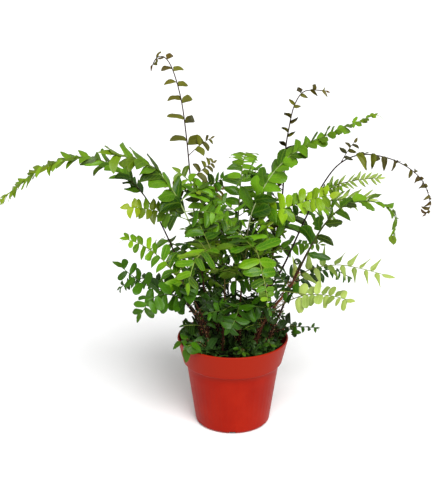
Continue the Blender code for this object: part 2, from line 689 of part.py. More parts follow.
def fiddlehead_path():
    """The path of the rolled frond: its stem, then a spiral that turns back over it."""
    path = list(FIDDLEHEAD["path"])
    top = Vector(path[-1])
    way = (top - Vector(path[-2])).normalized()
    start, end = COIL_RADIUS
    centre = top + Vector((-way.y, way.x)) * start
    first = (top - centre).angle_signed(Vector((1.0, 0.0)))
    for step in range(1, COIL_STEPS + 1):
        share = step / COIL_STEPS
        radius = start + (end - start) * share
        angle = first + 2 * pi * COIL_TURNS * share
        path.append((centre.x + radius * cos(angle), centre.y + radius * sin(angle)))
    return path


def make_plant(trees):
    """Places every stem, then every pinna, and returns the bodies and the holes of the stems."""
    rolled = dict(USUAL, **FIDDLEHEAD, finish="frond_bronze")
    rolled.update(path=fiddlehead_path(), leaves_from=0.999, leaf=(1, 1))
    fronds = [dict(USUAL, **frond) for frond in FRONDS] + [rolled]
    bodies = {}
    stems = {}
    holes = []
    for frond in fronds:
        stations, blades, points = place_stem(frond, trees)
        mesh = spray_mesh(frond, stations, blades)
        trees.append(tree_of(*mesh))
        bodies[frond["name"]] = [mesh]
        stems[frond["name"]] = (points, stations, trees[-1])
        holes.append(hole_cutter(frond, stations[0]))
    for frond in fronds:
        points, stem, own_tree = stems[frond["name"]]
        for pinna in frond["pinnae"]:
            others = [tree for tree in trees if tree is not own_tree]
            mesh = place_pinna(points, stem, pinna, [own_tree], others)
            if mesh is None:
                print(f"{frond['name']} leaves out the pinna at {pinna[0]}")
                continue
            bodies[frond["name"]].append(mesh)
            trees.append(tree_of(*mesh))
    for frond in fronds:
        parts = [add_object(frond["name"], *mesh, frond["finish"])
                 for mesh in bodies[frond["name"]]]
        if len(parts) > 1:
            join_by_boolean(parts[0], parts[1:], "UNION")
    return holes


def main():
    empty_file()
    pot_tree = tree_of(*make_pot())
    holes = make_plant([pot_tree])
    make_soil(holes)


main()
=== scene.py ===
import math
import random
from functools import partial

import bpy
import numpy as np
from mathutils import Matrix, Vector, noise
from mathutils.bvhtree import BVHTree
from mathutils.kdtree import KDTree


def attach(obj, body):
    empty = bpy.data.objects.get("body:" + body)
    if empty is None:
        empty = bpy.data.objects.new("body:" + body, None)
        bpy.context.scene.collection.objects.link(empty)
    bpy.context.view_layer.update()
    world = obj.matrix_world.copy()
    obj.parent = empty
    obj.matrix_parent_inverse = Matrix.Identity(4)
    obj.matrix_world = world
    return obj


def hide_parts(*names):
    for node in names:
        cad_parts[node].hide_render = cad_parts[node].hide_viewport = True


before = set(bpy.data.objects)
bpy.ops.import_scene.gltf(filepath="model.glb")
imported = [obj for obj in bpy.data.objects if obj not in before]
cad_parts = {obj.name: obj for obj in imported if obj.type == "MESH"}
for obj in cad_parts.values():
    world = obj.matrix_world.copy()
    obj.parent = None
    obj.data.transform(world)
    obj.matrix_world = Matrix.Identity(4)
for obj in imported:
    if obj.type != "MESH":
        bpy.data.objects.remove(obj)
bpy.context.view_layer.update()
mm = 0.001


def stage(text):
    print("fern:", text)


def selectOnly(*things):
    bpy.ops.object.select_all(action="DESELECT")
    for thing in things:
        thing.select_set(True)
    bpy.context.view_layer.objects.active = things[0]


def nothingSelected():
    if bpy.context.object and bpy.context.object.mode != "OBJECT":
        bpy.ops.object.mode_set(mode="OBJECT")
    bpy.ops.object.select_all(action="DESELECT")


def joined(things, name):
    selectOnly(*things)
    if len(things) > 1:
        bpy.ops.object.join()
    thing = bpy.context.object
    thing.name = name
    return thing


def linked(name, data):
    thing = bpy.data.objects.new(name, data)
    bpy.context.scene.collection.objects.link(thing)
    selectOnly(thing)
    return thing


def editAll():
    bpy.ops.object.mode_set(mode="EDIT")
    bpy.ops.mesh.select_all(action="SELECT")


def applyModifier(thing, kind, **settings):
    selectOnly(thing)
    modifier = thing.modifiers.new(kind.title(), kind)
    for key, value in settings.items():
        setattr(modifier, key, value)
    bpy.ops.object.modifier_apply(modifier=modifier.name)


def settle(thing):
    # the place goes into the mesh, and the object stays at the origin
    selectOnly(thing)
    bpy.ops.object.transform_apply(location=True, rotation=True, scale=True)


def hexColour(text):
    channels = []
    for at in (1, 3, 5):
        value = int(text[at:at + 2], 16) / 255
        channels.append(value / 12.92 if value <= 0.04045 else ((value + 0.055) / 1.055) ** 2.4)
    return (*channels, 1.0)


def feed(node, inputs):
    # an input takes a value, or the output that feeds it
    pairs = inputs.items() if isinstance(inputs, dict) else enumerate(inputs)
    for socket, value in pairs:
        if isinstance(value, bpy.types.NodeSocket):
            node.id_data.links.new(value, node.inputs[socket])
        else:
            node.inputs[socket].default_value = value


def addNode(tree, kind, inputs=(), out=0, stops=(), **settings):
    node = tree.nodes.new("ShaderNode" + kind)
    for key, value in settings.items():
        setattr(node, key, value)
    elements = node.color_ramp.elements if stops else []
    while len(elements) < len(stops):
        elements.new(0.5)
    for element, (place, colour) in zip(elements, stops):
        element.position = place
        element.color = hexColour(colour)
    feed(node, inputs)
    return node.outputs[out]


def newMaterial(name):
    # a material, its shader, and addNode for its own nodes
    material = bpy.data.materials.new(name)
    material.use_nodes = True
    tree = material.node_tree
    return material, tree.nodes["Principled BSDF"], partial(addNode, tree)


def finishSurface(shader, colour, rough, height, skin):
    # skin says how strong and how deep (in millimetres) the relief is, and how much it shines
    bump = addNode(shader.id_data, "Bump", {"Height": height, "Strength": skin["bump"],
                                            "Distance": skin["depth"] * mm})
    feed(shader, {"Base Color": colour, "Roughness": rough, "Normal": bump,
                  "Specular IOR Level": skin["specular"]})


# Living fern leaf: a waxy skin over green tissue, so it shines softly above, is paler and matt
# below, and shows a light midrib with side veins that run out to the edge.
leafLooks = {
    "frond_green": dict(name="livingLeafGreen", deep="#0E2202", body="#234D05", light="#5C8E12",
                        rib="#7E9C26", old="#889C1A", roughness=0.28),
    "frond_fresh": dict(name="livingLeafFresh", deep="#1C4404", body="#3E7206", light="#7CA612",
                        rib="#A0BC38", old="#9AAC1C", roughness=0.28),
    "pale": dict(name="livingLeafPale", deep="#66802E", body="#88A048", light="#A2B65A",
                 rib="#BCC880", old="#A6B450", roughness=0.36),
    "frond_dark": dict(name="livingLeafDark", deep="#0A1A02", body="#1C3C04", light="#3C6A0A",
                       rib="#50781A", old="#4A6A12", roughness=0.30),
    "frond_bronze": dict(name="livingLeafBronze", deep="#20200A", body="#42440E", light="#68701E",
                         rib="#76762C", old="#5A3616", roughness=0.40),
    "rim": dict(name="livingLeafRim", deep="#0A1806", body="#1C3610", light="#3C6422",
                rib="#587A3C", old="#4A6A22", roughness=0.34),
}
# Widths are shares of a leaflet's width. Patch, grain and depth are in millimetres.
leafSkin = dict(ribWidth=0.07, veinCount=8.0, veinSlope=3.4, veinWidth=0.16, vein=0.6,
                edgeFrom=0.42, edge=0.7, lines=0.30, ageing=0.85, under=0.26, matt=0.2,
                patch=14.0, patchTone=0.5, grain=3.0, grainRise=0.25, shine=(-0.06, 0.10),
                bump=0.7, depth=0.10, specular=0.17)


def leafMaterial(look):
    material, shader, add = newMaterial(look["name"])
    place = add("TexCoord", out="Object")
    uv = add("UVMap", uv_map="UVMap")
    along, across = (add("SeparateXYZ", [uv], axis) for axis in "XY")
    tone, age, under = (add("Attribute", out="Fac", attribute_name=name)
                        for name in ("tone", "age", "under"))
    fromRib = add("Math", [across, 0.5], operation="SUBTRACT")
    fromRib = add("Math", [fromRib], operation="ABSOLUTE")
    rib = add("MapRange", [fromRib, 0.0, leafSkin["ribWidth"], 1.0, 0.0])
    # side veins leave the midrib at a slant, one every 2 to 3 mm of a leaflet's length
    course = add("Math", [along, leafSkin["veinCount"]], operation="MULTIPLY")
    slant = add("Math", [fromRib, leafSkin["veinSlope"]], operation="MULTIPLY")
    course = add("Math", [course, slant], operation="SUBTRACT")
    course = add("Math", [course, 0.5], operation="PINGPONG")
    vein = add("MapRange", [course, 0.0, leafSkin["veinWidth"], leafSkin["vein"], 0.0])
    # a pale band along the leaflet's margin, in the rib colour: painted highlight on the edges
    edge = add("MapRange", [fromRib, leafSkin["edgeFrom"], 0.5, 0.0, leafSkin["edge"]])
    lines = add("Math", [vein, edge], operation="MAXIMUM")
    lines = add("Math", [rib, lines], operation="MAXIMUM")

    patch = add("TexNoise", {"Vector": place, "Scale": 1 / (leafSkin["patch"] * mm), "Detail": 2.0})
    patch = add("Math", [patch, 0.5], operation="SUBTRACT")
    patch = add("Math", [patch, leafSkin["patchTone"]], operation="MULTIPLY")
    tone = add("Math", [tone, patch], operation="ADD")
    colour = add("ValToRGB", [tone], stops=((0.05, look["deep"]), (0.48, look["body"]),
                                            (1.0, look["light"])))
    for amount, strength, over in ((age, "ageing", "old"), (lines, "lines", "rib"),
                                   (under, "under", "rib")):
        factor = add("Math", [amount, leafSkin[strength]], operation="MULTIPLY")
        colour = add("Mix", {0: factor, 6: colour, 7: hexColour(look[over])}, 2, data_type="RGBA")

    grain = add("TexNoise", {"Vector": place, "Scale": 1 / (leafSkin["grain"] * mm), "Detail": 3.0})
    low, high = (look["roughness"] + change for change in leafSkin["shine"])
    rough = add("MapRange", [grain, 0.3, 0.7, low, high])
    matt = add("Math", [under, leafSkin["matt"]], operation="MULTIPLY")
    rough = add("Math", [rough, matt], operation="ADD")
    height = add("Math", [grain, leafSkin["grainRise"]], operation="MULTIPLY")
    height = add("Math", [height, lines], operation="SUBTRACT")
    finishSurface(shader, colour, rough, height, leafSkin)
    return material


# Fern stipe: a wiry stalk, reddish and scaly at its foot, nearly black higher up, and green
# where it becomes the rib between fresh leaflets. One stays blackish to its tip, and a stout one
# is coppery above its foot.
stemLooks = {
    "frond_green": ("fernStipe", (0.0, "#33190F"), (0.22, "#2C150C"), (0.45, "#22120B"),
                    (0.62, "#4F5A22"), (1.0, "#6F9038")),
    "frond_fresh": ("fernStipeFresh", (0.0, "#3A1D10"), (0.3, "#4A2C16"), (0.5, "#66662A"),
                    (1.0, "#8DA845")),
    "frond_dark": ("fernStipeDark", (0.0, "#2E170D"), (0.4, "#26170B"), (0.7, "#354A1C"),
                   (1.0, "#4B6C2A")),
    # pale: near-white where the stalk becomes the rib, a painted highlight along the rachis
    "pale": ("fernStipePaintedHighlight", (0.0, "#3C1C12"), (0.37, "#3A2212"), (0.50, "#B9C890"),
             (0.64, "#A9BE78"), (0.74, "#6F8C34")),
    "frond_bronze": ("fernStipeBronze", (0.0, "#3C1A12"), (0.3, "#5A2014"), (0.5, "#2C1410"),
                     (1.0, "#38281A")),
    "black": ("fernStipeBlackish", (0.0, "#34180F"), (0.2, "#20110C"), (0.5, "#1E110D"),
              (1.0, "#38281A")),
    "copper": ("fernStipeCoppery", (0.0, "#4A281C"), (0.12, "#5E3222"), (0.26, "#8A4C2C"),
               (0.39, "#33200F"), (0.62, "#3E4A1C"), (1.0, "#6F9038")),
}
stemSkin = dict(streak="#1C0E08", streaks=0.45, grain=1.6, stretch=(1.0, 1.0, 0.25), bump=0.5,
                depth=0.2, specular=0.15)


def stemMaterial(name, *stops):
    material, shader, add = newMaterial(name)
    rise = add("Attribute", out="Fac", attribute_name="rise")
    colour = add("ValToRGB", [rise], stops=stops)
    place = add("TexCoord", out="Object")
    place = add("Mapping", {"Vector": place, "Scale": stemSkin["stretch"]})
    grain = add("TexNoise", {"Vector": place, "Scale": 1 / (stemSkin["grain"] * mm),
                             "Detail": 4.0, "Roughness": 0.6})
    streak = add("MapRange", [grain, 0.35, 0.7, 0.0, stemSkin["streaks"]])
    colour = add("Mix", {0: streak, 6: colour, 7: hexColour(stemSkin["streak"])}, 2,
                 data_type="RGBA")
    rough = add("MapRange", [grain, 0.3, 0.7, 0.38, 0.62])
    finishSurface(shader, colour, rough, grain, stemSkin)
    return material


# Polypropylene, injection moulded: an even red-orange with a satin skin from the mould and
# a little shine, slightly scuffed. The band is a little lighter.
potSkin = dict(colour="#901403", cloud="#9A1A05", band="#961F09", bandHeight=(66, 76),
               scuff="#B03414", cloudSize=30.0, scuffSize=2.5, grain=0.9, bump=0.25, depth=0.08,
               specular=0.08)


def potMaterial():
    material, shader, add = newMaterial("mouldedPolypropylene")
    place = add("TexCoord", out="Object")
    high = add("SeparateXYZ", [place], "Z")
    level = add("Mapping", {"Vector": place, "Scale": (1.0, 1.0, 4.0)})
    cloud = add("TexNoise", {"Vector": place, "Scale": 1 / (potSkin["cloudSize"] * mm),
                             "Detail": 3.0})
    scuff = add("TexNoise", {"Vector": level, "Scale": 1 / (potSkin["scuffSize"] * mm),
                             "Detail": 5.0, "Roughness": 0.7})
    grain = add("TexNoise", {"Vector": place, "Scale": 1 / (potSkin["grain"] * mm), "Detail": 2.0})
    bandLow, bandHigh = (value * mm for value in potSkin["bandHeight"])
    colour = hexColour(potSkin["colour"])
    for source, start, end, most, over in ((cloud, 0.35, 0.65, 1.0, "cloud"),
                                           (high, bandLow, bandHigh, 1.0, "band"),
                                           (scuff, 0.66, 0.80, 0.25, "scuff")):
        factor = add("MapRange", [source, start, end, 0.0, most])
        colour = add("Mix", {0: factor, 6: colour, 7: hexColour(potSkin[over])}, 2,
                     data_type="RGBA")
    rough = add("MapRange", [scuff, 0.3, 0.8, 0.36, 0.55])
    finishSurface(shader, colour, rough, grain, potSkin)
    return material


# Peat potting mix: dark crumbs with brown fibres, damp enough to be nearly black and matt.
soilSkin = dict(stops=((0.3, "#050403"), (0.5, "#0D0A07"), (0.68, "#1C140D"), (0.82, "#3A2C1E")),
                grain=2.2, bump=0.8, depth=0.7, specular=0.12)


def soilMaterial():
    material, shader, add = newMaterial("peatPottingMix")
    place = add("TexCoord", out="Object")
    crumb = add("TexNoise", {"Vector": place, "Scale": 1 / (soilSkin["grain"] * mm),
                             "Detail": 5.0, "Roughness": 0.65})
    colour = add("ValToRGB", [crumb], stops=soilSkin["stops"])
    rough = add("MapRange", [crumb, 0.3, 0.7, 0.95, 0.72])
    finishSurface(shader, colour, rough, crumb, soilSkin)
    return material


leafMaterials = {key: leafMaterial(look) for key, look in leafLooks.items()}
stemMaterials = {key: stemMaterial(*look) for key, look in stemLooks.items()}
stage("materials made")


# The pot: a thin shell turned from its outline, with a flared band, a step at the shoulder, fine
# flutes down the wall, and six drain notches at its bottom edge.
pot = dict(height=98.0, rim=60.0, bandFoot=(53.9, 71.5), shoulder=(49.3, 61.5), flat=36.5,
           step=((0.03, 0.25), (0.12, 0.50), (0.28, 0.72), (0.55, 0.88), (0.9, 0.955), (1.0, 1.0)),
           bandTop=(0.35, 1.6), round=4.5, wall=1.2, lip=1.0, steps=192, flutes=48,
           fluteDepth=0.06, fluteFrom=7.0, fluteEnd=2.0, fluteEase=8.0, notches=6,
           notchSize=(10.0, 7.0, 6.0), notchRadius=39.0, smooth=14)


def arcPoints(centre, radius, first, last, steps):
    points = []
    for step in range(steps + 1):
        angle = math.radians(first + (last - first) * step / steps)
        points.append((centre[0] + radius * math.cos(angle), centre[1] + radius * math.sin(angle)))
    return points


def alongLine(first, last, shares):
    return [(first[0] + (last[0] - first[0]) * share, first[1] + (last[1] - first[1]) * share)
            for share in shares]


def turnOutline(name, outline, steps):
    # a disc is added for the first ring, and each further ring is extruded and resized from it
    nothingSelected()
    radius, height = outline[0]
    bpy.ops.mesh.primitive_circle_add(vertices=steps, radius=radius * mm, fill_type="NGON",
                                      location=(0, 0, height * mm))
    thing = bpy.context.object
    thing.name = name
    settle(thing)
    bpy.ops.object.mode_set(mode="EDIT")
    bpy.ops.mesh.select_mode(type="EDGE")
    bpy.ops.mesh.select_all(action="SELECT")
    bpy.ops.mesh.inset(thickness=radius * mm * 0.5)
    bpy.ops.mesh.select_all(action="SELECT")
    bpy.ops.mesh.region_to_loop()
    for nextRadius, nextHeight in outline[1:]:
        bpy.ops.mesh.extrude_edges_move(
            TRANSFORM_OT_translate={"value": (0, 0, (nextHeight - height) * mm)})
        share = nextRadius / radius
        bpy.ops.transform.resize(value=(share, share, 1))
        radius, height = nextRadius, nextHeight
    bpy.ops.mesh.edge_face_add()
    bpy.ops.mesh.select_all(action="SELECT")
    bpy.ops.mesh.normals_make_consistent(inside=False)
    bpy.ops.object.mode_set(mode="OBJECT")
    return thing


def potWall(inset):
    foot = arcPoints((pot["flat"], pot["round"]), pot["round"] - inset, -90, 0, 8)
    shoulder = (pot["shoulder"][0] - inset, pot["shoulder"][1] + 0.4 * inset)
    band = (pot["bandFoot"][0] - inset, pot["bandFoot"][1] + 0.4 * inset)
    wall = alongLine(foot[-1], shoulder, (0.05, 0.08, 0.2, 0.4, 0.6, 0.8, 0.93, 1.0))
    across, rise = band[0] - shoulder[0], band[1] - shoulder[1]
    step = [(shoulder[0] + across * share, shoulder[1] + rise * high)
            for share, high in pot["step"]]
    return foot + wall + step


def modelPot():
    lipCentre = (pot["rim"] - pot["lip"], pot["height"] - pot["lip"])
    lip = arcPoints(lipCentre, pot["lip"], -20, 200, 18)
    outer = potWall(0.0)
    bandTop = (lip[0][0] - pot["bandTop"][0], lip[0][1] - pot["bandTop"][1])
    outer += alongLine(outer[-1], bandTop, (0.06, 0.5, 1.0))
    inner = list(reversed(potWall(pot["wall"])))
    shell = turnOutline("nursery_pot", outer + lip + inner, pot["steps"])
    wallFoot, wallTop = pot["fluteFrom"], pot["shoulder"][1] - pot["fluteEnd"]
    for vertex in shell.data.vertices:
        x, y, z = vertex.co / mm
        radius = math.hypot(x, y)
        if wallFoot < z < wallTop and radius > pot["flat"] + 3.0:
            ease = min(1.0, (z - wallFoot) / pot["fluteEase"], (wallTop - z) / pot["fluteEase"])
            push = pot["fluteDepth"] * ease * math.cos(pot["flutes"] * math.atan2(y, x))
            vertex.co.xy *= (radius + push - pot["fluteDepth"] * ease) / radius
    cutters = []
    for index in range(pot["notches"]):
        angle = 2 * math.pi * (index + 0.5) / pot["notches"]
        nothingSelected()
        bpy.ops.mesh.primitive_cube_add(
            size=1, rotation=(0, 0, angle),
            location=(pot["notchRadius"] * math.cos(angle) * mm,
                      pot["notchRadius"] * math.sin(angle) * mm, 0),
            scale=[size * mm for size in pot["notchSize"]])
        cutters.append(bpy.context.object)
    cutter = joined(cutters, "drain_notches")
    settle(cutter)
    applyModifier(shell, "BOOLEAN", operation="DIFFERENCE", object=cutter, solver="EXACT")
    bpy.data.objects.remove(cutter, do_unlink=True)
    selectOnly(shell)
    bpy.ops.object.shade_smooth_by_angle(angle=math.radians(pot["smooth"]))
    shell.data.materials.clear()
    shell.data.materials.append(potMaterial())
    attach(shell, "root")
    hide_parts("pot")


modelPot()
stage("pot turned")


# The soil: it fills the pot to below the rim, with a rough crumbly top.
soil = dict(edge=85.5, mound=3.5, rings=17, rough=1.1, clearance=0.3, crumbs=620, crumb=(0.7, 2.3),
            fibres=70, fibre=((4, 9), (0.5, 1.0), (0.4, 0.7)), tilt=0.3, seed=41)


def potInside(height):
    # radius of the pot's inner face at a height of its upper part
    low = potWall(pot["wall"])[-1]
    high = (pot["rim"] - pot["lip"] - pot["lip"], pot["height"] - pot["lip"])
    share = (height - low[1]) / (high[1] - low[1])
    return low[0] + (high[0] - low[0]) * share


def soilHeight(x, y):
    edge = potInside(soil["edge"])
    share = min(math.hypot(x, y) / edge, 1.0)
    rise = soil["mound"] * (1 - share ** 2)
    bumps = noise.noise(Vector((x, y, 3.0)) / 6.0) + 0.6 * noise.noise(Vector((x, y, 9.0)) / 2.4)
    return soil["edge"] + rise + soil["rough"] * bumps * min(1.0, 8 * (1 - share) + 0.15)


def modelSoil():
    inset = pot["wall"] + soil["clearance"]
    edge = potInside(soil["edge"]) - soil["clearance"]
    outline = potWall(inset) + [(edge, soil["edge"])]
    for ring in range(1, soil["rings"]):
        share = 1 - ring / soil["rings"]
        outline.append((edge * share, soil["edge"] + soil["mound"] * (1 - share ** 2)))
    body = turnOutline("potting_soil_body", outline, 96)
    for vertex in body.data.vertices:
        x, y, z = vertex.co / mm
        if z > soil["edge"] + 0.01:
            vertex.co.z = soilHeight(x, y) * mm
    draw = random.Random(soil["seed"])
    nothingSelected()
    bpy.ops.mesh.primitive_ico_sphere_add(subdivisions=1, radius=0.5, location=(0, 0, 0))
    crumb = bpy.context.object
    corners = np.array([vertex.co[:] for vertex in crumb.data.vertices])
    faces = np.array([face.vertices[:] for face in crumb.data.polygons])
    bpy.data.objects.remove(crumb, do_unlink=True)
    points, polygons = [], []
    for index in range(soil["crumbs"] + soil["fibres"]):
        reach = (edge - 2.0) * math.sqrt(draw.random())
        angle = draw.uniform(0, 2 * math.pi)
        x, y = reach * math.cos(angle), reach * math.sin(angle)
        limits = [soil["crumb"]] * 3 if index < soil["crumbs"] else soil["fibre"]
        size = np.array([draw.uniform(*limit) for limit in limits])
        turn = np.array(Matrix.Rotation(draw.uniform(0, 6.28), 3, "Z")
                        @ Matrix.Rotation(draw.uniform(-soil["tilt"], soil["tilt"]), 3, "Y"))
        rough = 1 + 0.18 * np.sin(corners @ np.array([9.0, 5.0, 7.0]) + index)[:, None]
        polygons.append(faces + sum(len(block) for block in points))
        points.append((corners * rough * size) @ turn.T + (x, y, soilHeight(x, y) + 0.1 * size[2]))
    mesh = bpy.data.meshes.new("soil_crumbs")
    mesh.from_pydata((np.concatenate(points) * mm).tolist(), [], np.concatenate(polygons).tolist())
    thing = joined([body, linked("soil_crumbs", mesh)], "potting_mix")
    thing.data.materials.clear()
    thing.data.materials.append(soilMaterial())
    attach(thing, "root")
    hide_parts("soil")


modelSoil()
stage("soil filled")


# Leaflets. Each outline gives (share of the length, lower edge, upper edge) as shares of the
# width: the side towards the frond's tip has the shoulder, the other side runs out to the end.
leafOutlines = {
    "round": ((0.00, -0.04, 0.05), (0.07, -0.12, 0.32), (0.24, -0.27, 0.51), (0.46, -0.39, 0.52),
              (0.66, -0.48, 0.52), (0.83, -0.42, 0.45), (0.95, -0.25, 0.25), (1.00, -0.06, 0.06)),
    "pointed": ((0.00, -0.04, 0.05), (0.06, -0.11, 0.36), (0.20, -0.25, 0.58), (0.40, -0.35, 0.54),
                (0.58, -0.34, 0.46), (0.76, -0.32, 0.24), (0.91, -0.20, 0.08),
                (1.00, -0.10, -0.05)),
    "angled": ((0.00, -0.05, 0.05), (0.09, -0.09, 0.50), (0.22, -0.16, 0.64), (0.46, -0.26, 0.60),
               (0.68, -0.36, 0.52), (0.84, -0.43, 0.30), (0.95, -0.46, -0.06),
               (1.00, -0.46, -0.38)),
    "fin": ((0.00, -0.08, 0.10), (0.07, -0.34, 0.44), (0.20, -0.46, 0.56), (0.38, -0.26, 0.48),
            (0.58, -0.08, 0.38), (0.78, 0.06, 0.32), (0.92, 0.16, 0.28), (1.00, 0.20, 0.24)),
    "block": ((0.00, -0.10, 0.12), (0.07, -0.34, 0.38), (0.22, -0.48, 0.52), (0.46, -0.50, 0.48),
              (0.66, -0.54, 0.50), (0.83, -0.46, 0.40), (0.95, -0.36, 0.24), (1.00, -0.18, 0.04)),
    "lobed": ((0.00, -0.04, 0.05), (0.10, -0.24, 0.30), (0.26, -0.50, 0.52), (0.42, -0.36, 0.40),
              (0.60, -0.54, 0.50), (0.77, -0.36, 0.38), (0.92, -0.30, 0.24), (1.00, -0.05, 0.05)),
}
leafThickness = 0.36
leafGrids = {"large": (7, 4), "small": (5, 2)}   # faces along and across one side of a leaflet
smallLeaf = 9.0   # below this length a leaflet has the small grid


def modelLeaflet(name, outline, grid):
    # one closed leaflet: a grid is drawn out to the outline, doubled and joined round its edge
    along, across = grid
    nothingSelected()
    bpy.ops.mesh.primitive_grid_add(x_subdivisions=along, y_subdivisions=across, size=2)
    leaf = bpy.context.object
    leaf.name = name
    shares, lows, highs = (np.array(column) for column in zip(*outline))
    for vertex in leaf.data.vertices:
        step = (vertex.co.x + 1) / 2 * (len(outline) - 1)
        low = np.interp(step, range(len(outline)), lows)
        high = np.interp(step, range(len(outline)), highs)
        across01 = (vertex.co.y + 1) / 2
        share = np.interp(step, range(len(outline)), shares)
        vertex.co = (share, low + (high - low) * across01, 0.0)
    editAll()
    bpy.ops.mesh.duplicate()
    bpy.ops.mesh.flip_normals()
    bpy.ops.transform.translate(value=(0, 0, -1))
    bpy.ops.object.mode_set(mode="OBJECT")
    mesh = leaf.data
    strip = np.zeros(len(mesh.vertices))
    station = np.zeros(len(mesh.vertices))
    for loop in mesh.loops:
        station[loop.vertex_index], strip[loop.vertex_index] = mesh.uv_layers[0].data[loop.index].uv
    for vertex in mesh.vertices:
        inner = 0.01 < strip[vertex.index] < 0.99 and 0.01 < station[vertex.index] < 0.99
        vertex.co.z = (1.0 if vertex.co.z > -0.5 else -1.0) if inner else 0.0
    editAll()
    bpy.ops.mesh.remove_doubles(threshold=0.0005)
    bpy.ops.object.mode_set(mode="OBJECT")
    corners = np.array([vertex.co[:] for vertex in mesh.vertices])
    strip = np.zeros(len(corners))
    for loop in mesh.loops:
        strip[loop.vertex_index] = mesh.uv_layers[0].data[loop.index].uv[1]
    faces = [tuple(face.vertices) for face in mesh.polygons]
    uvs = [[tuple(mesh.uv_layers[0].data[at].uv) for at in face.loop_indices]
           for face in mesh.polygons]
    bpy.data.objects.remove(leaf, do_unlink=True)
    return dict(share=corners[:, 0], across=corners[:, 1], sheet=corners[:, 2],
                edge=2 * strip - 1, faces=faces, uvs=uvs)


leaflets = {(shape, size): modelLeaflet(f"{shape}_{size}", outline, grid)
            for shape, outline in leafOutlines.items() for size, grid in leafGrids.items()}
stage("leaflets modelled")


def newSpray():
    return dict(points=[], faces=[], uvs=[], tone=[], age=[], under=[], count=0)


def addLeaflet(spray, shape, place, reach, across, up, length, width, form):
    # bends one copy of the modelled leaflet and adds it at its place
    leaf = leaflets[shape, "small" if length < smallLeaf else "large"]
    share, edge = leaf["share"], leaf["edge"]
    half = width / 2
    rise = leaf["sheet"] * leafThickness / 2
    rise = rise + half * (form["fold"] * np.abs(edge) - form["crown"] * edge ** 2)
    rise = rise + form["wave"] * half * np.sin(7.0 * share + form["phase"]) * edge
    side = leaf["across"] * width
    turn = math.radians(form["twist"]) * share
    side, rise = (side * np.cos(turn) - rise * np.sin(turn),
                  side * np.sin(turn) + rise * np.cos(turn))
    rise = rise - form["sag"] * length * share ** 2
    points = (np.array(place) + np.outer(share * length, reach) + np.outer(side, across)
              + np.outer(rise, up))
    mirrored = reach.cross(across).dot(up) < 0
    for face, uv in zip(leaf["faces"], leaf["uvs"]):
        face = [corner + spray["count"] for corner in face]
        spray["faces"].append(face[::-1] if mirrored else face)
        spray["uvs"] += uv[::-1] if mirrored else uv
    spray["points"].append(points)
    spray["count"] += len(points)
    spray["tone"] += [form["tone"]] * len(points)
    spray["age"] += [form["age"]] * len(points)
    spray["under"] += list(np.clip(0.5 - 0.5 * leaf["sheet"], 0, 1))


def sprayObject(name, spray, material):
    mesh = bpy.data.meshes.new(name)
    mesh.from_pydata((np.concatenate(spray["points"]) * mm).tolist(), [], spray["faces"])
    layer = mesh.uv_layers.new(name="UVMap")
    layer.data.foreach_set("uv", np.array(spray["uvs"]).ravel())
    for key in ("tone", "age", "under"):
        mesh.attributes.new(key, "FLOAT", "POINT").data.foreach_set("value", spray[key])
    mesh.materials.append(material)
    thing = linked(name, mesh)
    bpy.ops.object.shade_smooth_by_angle(angle=math.radians(75))
    return thing


def stalkObject(name, courses, material):
    # a round stalk along each course, a list of (place, radius, rise)
    curve = bpy.data.curves.new(name, "CURVE")
    curve.dimensions = "3D"
    curve.bevel_depth = mm
    curve.bevel_resolution = 1
    curve.use_fill_caps = True
    spots = KDTree(sum(len(course) for course in courses))
    rises = []
    for course in courses:
        spline = curve.splines.new("POLY")
        spline.points.add(len(course) - 1)
        for point, (place, radius, rise) in zip(spline.points, course):
            point.co = (*(place * mm), 1.0)
            point.radius = radius
            spots.insert(place * mm, len(rises))
            rises.append(rise)
    spots.balance()
    linked(name, curve)
    bpy.ops.object.convert(target="MESH")
    thing = bpy.context.object
    editAll()
    bpy.ops.mesh.remove_doubles(threshold=0.01 * mm)
    bpy.ops.object.mode_set(mode="OBJECT")
    mesh = thing.data
    nearest = [rises[spots.find(vertex.co)[1]] for vertex in mesh.vertices]
    mesh.attributes.new("rise", "FLOAT", "POINT").data.foreach_set("value", nearest)
    mesh.materials.clear()
    mesh.materials.append(material)
    bpy.ops.object.shade_smooth_by_angle(angle=math.radians(60))
    return thing


# Fronds. path: (reach from the pot's axis, height) from the soil to the tip. swing: how far the
# azimuth turns by the tip. leaf: length of the first and the last leaflet. spacing and width:
# shares of that length. sag: how far a leaflet's end hangs.
# pair: how far each second leaflet moves back to the one before. light: how far the blade turns.
# tipLight: what share of that turn is left at the tip. missing: the share of leaflets left out.
# tipLean: how much more a leaflet leans at the tip. sides: the width on either side, as a share.
# lean, lift, roll: how far a leaflet leans to the tip, stands up from the blade, and turns about
# itself on either side.
# pinnae: (share of the path, side, length, leaflet, angle off the stem, rise above the blade,
# what differs from pinnaUsual). extras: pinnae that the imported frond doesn't have, as (share of
# the path, length, leaflet, what differs), with way: their azimuth and rise, and face: where the
# upper side of their leaflets looks.
# inner: the leaf of the short pinnae that fill the middle of the plant. within: how far from the
# pot's axis a leaflet may reach. age: how far the leaflets near the tip have turned.
# leafLook and stalkLook: where the leaf or the stalk looks other than the node's slot. tail: how
# far the stalk runs on past the last leaflet. tone: 0 is the darkest leaf, 1 the lightest.
usual = dict(swing=0, stem=(2.2, 1.1), leavesFrom=0.5, leaf=(16, 6), spacing=0.62, width=0.50,
             lean=(24, 24), tipLean=0, sides=(1, 1), sag=0.14, pair=0, lift=0, roll=(0, 0),
             fold=0.15, light=None, tipLight=1, pinnae=(), extras=(), look="frond_green",
             leafLook=None, stalkLook=None, inner="frond_green", shape=("angled", "pointed"),
             tail=5, tone=0.5, age=0.5, missing=0, within=500)
paleStrip = dict(look="pale", taper=0.7, tone=0.0, missing=0.1, shape=("pointed",))
